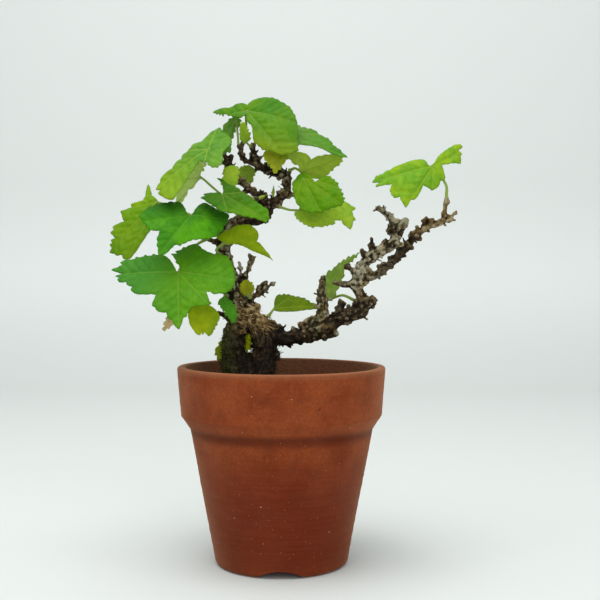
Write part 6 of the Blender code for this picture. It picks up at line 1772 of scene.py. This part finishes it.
def hollows(mesh, points, facing, rounds=10):
    """How far each point lies under its surroundings: 1 in a deep crevice, -1 on a proud knob."""
    ends = np.empty(2 * len(mesh.edges), dtype=np.int32)
    mesh.edges.foreach_get("vertices", ends)
    first, second = ends[::2], ends[1::2]
    count = np.bincount(ends, minlength=len(points))
    smooth = points
    for _ in range(rounds):
        smooth = np.column_stack([np.bincount(first, smooth[second, axis], len(points))
                                  + np.bincount(second, smooth[first, axis], len(points))
                                  for axis in range(3)]) / count[:, None]
    under = ((smooth - points) * facing).sum(axis=1)
    low, middle, high = np.percentile(under, (10, 50, 90))
    print("crevice depths, mm:", round(float(low), 2), round(float(middle), 2), round(float(high), 2))
    return np.clip((under - middle) / (high - middle), -1.5, 1.5)


def blob(skin, middle, size):
    """A soft spot of 0 to 1 round a place."""
    return np.exp(-(((skin - np.array(middle)) / np.array(size)) ** 2).sum(axis=1))


height, depth = bark_relief(skin, local, stem_radius)
set_points(wood.data, skin + facing * height[:, None])
sunk = hollows(wood.data, points_of(wood.data), normals_of(wood.data))
# Painted shade: the hollows deepen the dark of the fissures, and proud knobs lessen it.
depth = np.clip(depth + 0.55 * np.clip(sunk, -0.4, 1.2), 0.0, 1.0)
proud = np.clip((np.hypot(local[:, 0], local[:, 1]) - stem_radius - 0.7) / 1.3, 0.0, 1.0)
collar = np.clip(1.5 * blob(skin, (-12.0, -4.0, 109.0), (9.0, 9.0, 5.5)), 0.0, 1.0)
mottle = noise_at(skin, 4.6, 8.0) + 0.9 * noise_at(skin, 1.7, 9.0)
# Painted light and shade: the facing term makes the bark paler where it faces up and browner where it faces down, as
# light from above falls on it; the sunk term paints shade into hollows and light onto proud knobs.
pale = (paleness + 0.34 * mottle * np.clip(paleness * 2.2, 0.2, 1.0) + 0.12 * facing[:, 2]
        - 0.15 * proud * np.clip(paleness * 1.6, 0.0, 1.0) + 0.20 * collar
        - 0.30 * sunk * np.clip(paleness * 2.0, 0.25, 1.0))
warm = np.clip(collar + 0.55 * np.clip((skin[:, 0] - 52.0) / 10.0, 0.0, 1.0)
               + 0.5 * np.clip(noise_at(skin, 6.0, 11.0) * 2.0, 0.0, 1.0), 0.0, 1.0)
moss = np.clip((114.0 - skin[:, 2]) / 16.0, 0, 1) * np.clip((-18.0 - skin[:, 0]) / 6.0, 0.0, 1.0)
moss += 0.9 * blob(skin, (15.5, -9.0, 112.0), (2.6, 6.0, 10.0))
marks = np.column_stack([depth, np.clip(pale, 0.0, 1.0), np.clip(moss, 0.0, 1.0), np.ones(len(skin))])
layer = wood.data.attributes.new("bark_marks", "FLOAT_COLOR", "POINT")
layer.data.foreach_set("color", marks.ravel())
layer = wood.data.attributes.new("bark_warmth", "FLOAT", "POINT")
layer.data.foreach_set("value", warm)
layer = wood.data.attributes.new("stem_place", "FLOAT_VECTOR", "POINT")
layer.data.foreach_set("vector", local.ravel())
wood.data.shade_smooth()
settle(wood)

# %% [markdown]
# ### Bark colour
#
# The stump is almost black and damp, with moss on its left. Higher up, where the sun reaches, the bark has weathered
# to a grey tan, browner round the old buds. Painted light makes it paler on top, and painted shade makes it browner
# below and darker in its hollows; its fissures are dark partly in their own colour, partly by painted shade. One
# number, the paleness, runs through a ramp of four bark tones; streaks along the grain and fissures vary it.

# %% Bark material
BARK_TONES = [(0.0, (23, 17, 9)), (0.3, (62, 49, 31)), (0.62, (106, 95, 70)), (0.95, (152, 147, 124))]
WARM_TONES = [(0.0, (36, 24, 11)), (0.3, (88, 64, 32)), (0.62, (128, 104, 60)), (0.95, (166, 148, 104))]


def tone_ramp(tree, value, tones):
    """A colour ramp through a list of (place, screen colour) steps."""
    node = add_node(tree, "ShaderNodeValToRGB", {0: value})
    steps = node.color_ramp.elements
    while len(steps) < len(tones):
        steps.new(0.5)
    for step, (place, tone) in zip(steps, tones):
        step.position = place
        step.color = srgb(*tone)
    return node.outputs[0]


def make_bark():
    """Weathered bark: four tones by paleness, which carries painted light on top, streaked along the stem, dark in
    its fissures partly by painted shade, mossy.
    """
    material, tree, shader, _ = new_material("bark", Roughness=0.9, Specular_IOR_Level=0.2)
    coords = add_node(tree, "ShaderNodeTexCoord").outputs["Object"]
    marks = add_node(tree, "ShaderNodeAttribute", attribute_name="bark_marks")
    warmth = add_node(tree, "ShaderNodeAttribute", attribute_name="bark_warmth").outputs["Fac"]
    mark = add_node(tree, "ShaderNodeSeparateColor", {0: marks.outputs["Color"]})
    depth, pale, moss = mark.outputs[0], mark.outputs[1], mark.outputs[2]
    stem = add_node(tree, "ShaderNodeAttribute", attribute_name="stem_place").outputs["Vector"]
    drawn = add_node(tree, "ShaderNodeVectorMath", {0: stem, 1: (1.4, 1.4, 0.2)}, operation="MULTIPLY")
    streaks = add_node(tree, "ShaderNodeTexNoise", {"Vector": drawn.outputs[0], "Scale": 1.0, "Detail": 5.0,
                                                    "Roughness": 0.65}).outputs["Fac"]
    fine = add_node(tree, "ShaderNodeTexNoise", {"Vector": coords, "Scale": 1500.0, "Detail": 4.0}).outputs["Fac"]
    lift = maths(tree, "MULTIPLY", maths(tree, "SUBTRACT", streaks, 0.5), 1.25)
    lift = maths(tree, "ADD", lift, maths(tree, "MULTIPLY", maths(tree, "SUBTRACT", fine, 0.5), 1.1))
    strength = add_node(tree, "ShaderNodeMapRange", {"Value": pale, "To Min": 0.45, "To Max": 1.0}).outputs[0]
    value = maths(tree, "ADD", pale, maths(tree, "MULTIPLY", lift, strength))
    colour = blend_colours(tree, warmth, tone_ramp(tree, value, BARK_TONES), tone_ramp(tree, value, WARM_TONES))
    # The fissures darken towards near black: partly the bark's own darker colour there, partly painted shade from the
    # hollows in the depth mark.
    sunk = maths(tree, "MULTIPLY", ramp_between(tree, depth, 0.4, 0.9), 0.75)
    colour = blend_colours(tree, sunk, colour, srgb(22, 15, 8))
    tufts = use_group(tree, patches, {"Vector": coords, "Size": 0.9, "Low": 0.38, "High": 0.62})
    green = maths(tree, "MULTIPLY", maths(tree, "MULTIPLY", moss, tufts.outputs[0]), 0.85)
    colour = blend_colours(tree, green, colour, srgb(62, 72, 26))
    tree.links.new(colour, shader.inputs["Base Color"])
    rough = add_node(tree, "ShaderNodeMapRange", {"Value": depth, "To Min": 0.78, "To Max": 0.97})
    tree.links.new(rough.outputs[0], shader.inputs["Roughness"])
    height = maths(tree, "ADD", maths(tree, "MULTIPLY", streaks, 1.3), fine)
    bump = add_node(tree, "ShaderNodeBump", {"Strength": 0.6, "Distance": 0.3 * MM, "Height": height})
    tree.links.new(bump.outputs[0], shader.inputs["Normal"])
    return material


bark = make_bark()
dress(wood, bark, "bark", "wood")

# %% [markdown]
# ### Fibres, bristles and young buds
#
# The collar over the hole is frayed into pale fibres, and the dark stump bristles with the stumps of old
# roots. A hair system would be lost in a game engine, so each fibre is a real tapering blade with three
# sides, set on a point of the skin picked by a seeded draw. Two green shoots start on the crown.

# %% Fibres
FIBRES = {"collar": (560, (1.5, 3.2), 0.13), "stump": (1100, (0.6, 2.1), 0.16), "moss": (620, (0.35, 0.8), 0.14)}
FIBRE_SEED = 31
FIBRE_STEPS = 4


def fibre(place, along, out, length, radius, curl, lift):
    """Points and faces of one three-sided fibre that leaves the skin and bends along it."""
    rings, faces = [], []
    for k in range(FIBRE_STEPS):
        t = k / (FIBRE_STEPS - 1)
        centre = place + (along * t + out * (lift * t - 0.35 * t * t + curl * t * t)) * length
        across = along.cross(out).normalized()
        width = radius * (1.0 - 0.8 * t)
        for n in range(3):
            turn = math.tau * n / 3
            rings.append(centre + (across * math.cos(turn) + out * math.sin(turn)) * width)
    for k in range(FIBRE_STEPS - 1):
        for n in range(3):
            a, b = 3 * k + n, 3 * k + (n + 1) % 3
            faces.append((a, b, b + 3, a + 3))
    last = 3 * FIBRE_STEPS - 1
    return rings, faces + [(2, 1, 0), (last - 2, last - 1, last)]


def fibre_fields(skin, facing):
    """Where each kind of fibre may grow, as a share of 0 to 1 for each skin point."""
    front = np.clip(0.4 - facing[:, 1], 0.0, 1.0)
    stump = np.clip((103.0 - skin[:, 2]) / 6.0, 0.0, 1.0) * (skin[:, 2] > 78.0) * (skin[:, 0] < 0.0)
    left = np.clip((-19.0 - skin[:, 0]) / 4.0, 0.0, 1.0) * (skin[:, 2] > 78.0) * (skin[:, 2] < 113.0)
    return {"collar": blob(skin, (-12.0, -4.0, 109.0), (8.0, 7.0, 4.5)) * front, "stump": stump, "moss": left}


def grow_fibres(name, kind, skin, facing, chance):
    """One mesh of the fibres of a kind."""
    count, lengths, radius = FIBRES[kind]
    share = fibre_fields(skin, facing)[kind]
    picks = chance.choices(range(len(skin)), weights=share, k=count)
    points, all_faces = [], []
    for pick in picks:
        out = Vector(facing[pick])
        lean = Vector((0.75, 0.0, -0.45)) if kind == "collar" else Vector((0.0, 0.0, -1.0 if kind == "moss" else 1.0))
        stray = Vector((chance.uniform(-1, 1), chance.uniform(-1, 1), chance.uniform(-1, 1)))
        stray *= 0.35 if kind == "collar" else 0.9
        along = lean + stray
        along = (along - out * out.dot(along)).normalized()
        length = chance.uniform(*lengths)
        if kind != "collar":
            along = (along * 0.5 + out * 0.8).normalized()
            out = (out - along * along.dot(out)).normalized()
        rings, faces = fibre(Vector(skin[pick]) - out * 0.15, along, out, length,
                             radius * chance.uniform(0.7, 1.4), chance.uniform(-0.25, 0.25),
                             0.3 if kind == "collar" else 0.55)
        all_faces += [tuple(k + len(points) for k in face) for face in faces]
        points += [tuple(point) for point in rings]
    mesh = bpy.data.meshes.new(name)
    mesh.from_pydata(points, [], all_faces)
    mesh.shade_smooth()
    thing = bpy.data.objects.new(name, mesh)
    bpy.context.scene.collection.objects.link(thing)
    make_active(thing)
    bpy.ops.object.mode_set(mode="EDIT")
    bpy.ops.mesh.select_all(action="SELECT")
    bpy.ops.mesh.normals_make_consistent(inside=False)
    bpy.ops.object.mode_set(mode="OBJECT")
    settle(thing)
    return thing


def make_fibre_material(name, dark, light, grain):
    """Dry strands that take one of two tones each, place by place."""
    material, tree, shader, _ = new_material(name, Roughness=0.88, Specular_IOR_Level=0.2)
    coords = add_node(tree, "ShaderNodeTexCoord").outputs["Object"]
    tone = use_group(tree, patches, {"Vector": coords, "Size": grain, "Low": 0.36, "High": 0.64})
    tree.links.new(blend_colours(tree, tone.outputs[0], dark, light), shader.inputs["Base Color"])
    fine = add_node(tree, "ShaderNodeTexNoise", {"Vector": coords, "Scale": 2400.0, "Detail": 2.0})
    rough = add_node(tree, "ShaderNodeMapRange", {"Value": fine.outputs["Fac"], "To Min": 0.78, "To Max": 0.98})
    tree.links.new(rough.outputs[0], shader.inputs["Roughness"])
    return material


FIBRE_LOOKS = {
    "collar": ((92, 66, 34), (204, 178, 126), 1.3),
    "stump": ((24, 18, 10), (64, 52, 32), 1.6),
    "moss": ((40, 50, 18), (92, 106, 46), 1.8),
}
draws = random.Random(FIBRE_SEED)
skin = points_of(wood.data) / MM - np.array(POT_PLACE)
facing = normals_of(wood.data)
for kind, (dark, light, grain) in FIBRE_LOOKS.items():
    strands = grow_fibres(kind + "_fibres", kind, skin, facing, draws)
    dress(strands, make_fibre_material(kind + "_strands", srgb(*dark), srgb(*light), grain), "bark")

# %% Young buds
YOUNG_BUDS = [
    ((-3.9, 4.8, 161.8), (-3.6, 3.8, 168.4), 0.6), ((-11.4, 4.6, 161.2), (-5.8, 3.4, 163.4), 0.9),
]


def make_young_bud(base, tip, radius):
    """A pointed bud: a sphere drawn out towards its tip, on a short neck."""
    start_clean()
    bpy.ops.mesh.primitive_uv_sphere_add(segments=16, ring_count=12, radius=1.0)
    thing = bpy.context.object
    points = points_of(thing.data)
    t = (points[:, 2] + 1.0) / 2.0
    width = radius * (0.35 + 0.65 * np.sin(np.pi * np.clip(t * 1.25, 0.0, 1.0)) ** 0.8) * np.clip(2.4 * (1 - t), 0.0, 1.0)
    ring = np.hypot(points[:, 0], points[:, 1])
    flat = points[:, :2] / np.maximum(ring, 1e-6)[:, None] * np.minimum(ring * 1.6, 1.0)[:, None]
    wrinkle = 1.0 + 0.12 * np.sin(5 * np.arctan2(points[:, 1], points[:, 0]) + 4.0 * t)
    length = (Vector(tip) - Vector(base)).length
    set_points(thing.data, np.column_stack([flat * (width * wrinkle)[:, None], t * length]))
    turn = (Vector(tip) - Vector(base)).to_track_quat("Z", "Y").to_matrix().to_4x4()
    thing.data.transform(Matrix.Translation(base) @ turn)
    thing.data.shade_smooth()
    return thing


young = [make_young_bud(*bud) for bud in YOUNG_BUDS]
make_active(young[0])
for bud in young[1:]:
    bud.select_set(True)
bpy.ops.object.join()
young_buds = bpy.context.object
young_buds.name = "young_buds"
settle(young_buds)
dress(young_buds, make_fibre_material("young_bud_green", srgb(112, 134, 36), srgb(150, 166, 66), 1.4), "green")

# %% [markdown]
# ## Floor and light
#
# The tree stands on a plain pale floor that sweeps up behind it into a pale wall, so that no horizon
# cuts through the leaves. A large soft lamp above and in front lights the leaves from the top, and a
# bright pale world fills the shadows, as a window-lit white room does.

# %% Stage
SWEEP_RADIUS = 260.0
FLOOR_TONE, WALL_TONE = srgb(208, 212, 210), srgb(224, 228, 226)
FLOOR_FRONT, FLOOR_BACK, STAGE_HALF, WALL_HEIGHT = -1500.0, 700.0, 2500.0, 2600.0


def make_stage():
    """A floor and a wall in one sheet, with a round sweep between them."""
    bend = [(FLOOR_BACK + SWEEP_RADIUS * math.sin(a), SWEEP_RADIUS * (1 - math.cos(a)))
            for a in (math.pi / 2 * k / 12 for k in range(13))]
    line = [(FLOOR_FRONT, 0.0)] + bend + [(FLOOR_BACK + SWEEP_RADIUS, WALL_HEIGHT)]
    points = [(x, y, z) for y, z in line for x in (-STAGE_HALF, STAGE_HALF)]
    faces = [(2 * k, 2 * k + 1, 2 * k + 3, 2 * k + 2) for k in range(len(line) - 1)]
    mesh = bpy.data.meshes.new("stage")
    mesh.from_pydata(points, [], faces)
    mesh.shade_smooth()
    thing = bpy.data.objects.new("stage", mesh)
    bpy.context.scene.collection.objects.link(thing)
    settle(thing, Vector((0, 0, 0)), inside=False)
    material, tree, shader, _ = new_material("stage", Roughness=0.9, Specular_IOR_Level=0.2)
    height = add_node(tree, "ShaderNodeSeparateXYZ", {0: add_node(tree, "ShaderNodeTexCoord").outputs["Object"]})
    rise = ramp_between(tree, height.outputs["Z"], 0.0, 0.15)
    tree.links.new(blend_colours(tree, rise, FLOOR_TONE, WALL_TONE), shader.inputs["Base Color"])
    mesh.materials.append(material)


def add_lamp(name, place, target, size, power, colour=(1.0, 1.0, 1.0)):
    """A square soft lamp that looks at a target."""
    data = bpy.data.lights.new(name, "AREA")
    data.size = size * MM
    data.energy = power
    data.color = colour
    lamp = bpy.data.objects.new(name, data)
    bpy.context.scene.collection.objects.link(lamp)
    lamp.location = Vector(place) * MM
    lamp.rotation_euler = (Vector(target) - Vector(place)).to_track_quat("-Z", "Y").to_euler()


make_stage()
add_lamp("overhead", (-150, -250, 900), (0, 0, 120), 700, 5.2, (1.0, 0.995, 0.97))
add_lamp("front", (250, -900, 420), (0, 0, 90), 700, 2.5)
add_lamp("wall_wash", (0, 300, 1300), (0, 900, 300), 1500, 8.0)

# %% World and colour
world = bpy.data.worlds.new("pale_room")
world.use_nodes = True
backdrop = world.node_tree.nodes["Background"]
backdrop.inputs["Color"].default_value = srgb(232, 236, 236)
backdrop.inputs["Strength"].default_value = 0.6
bpy.context.scene.world = world
bpy.context.scene.view_settings.view_transform = "Standard"
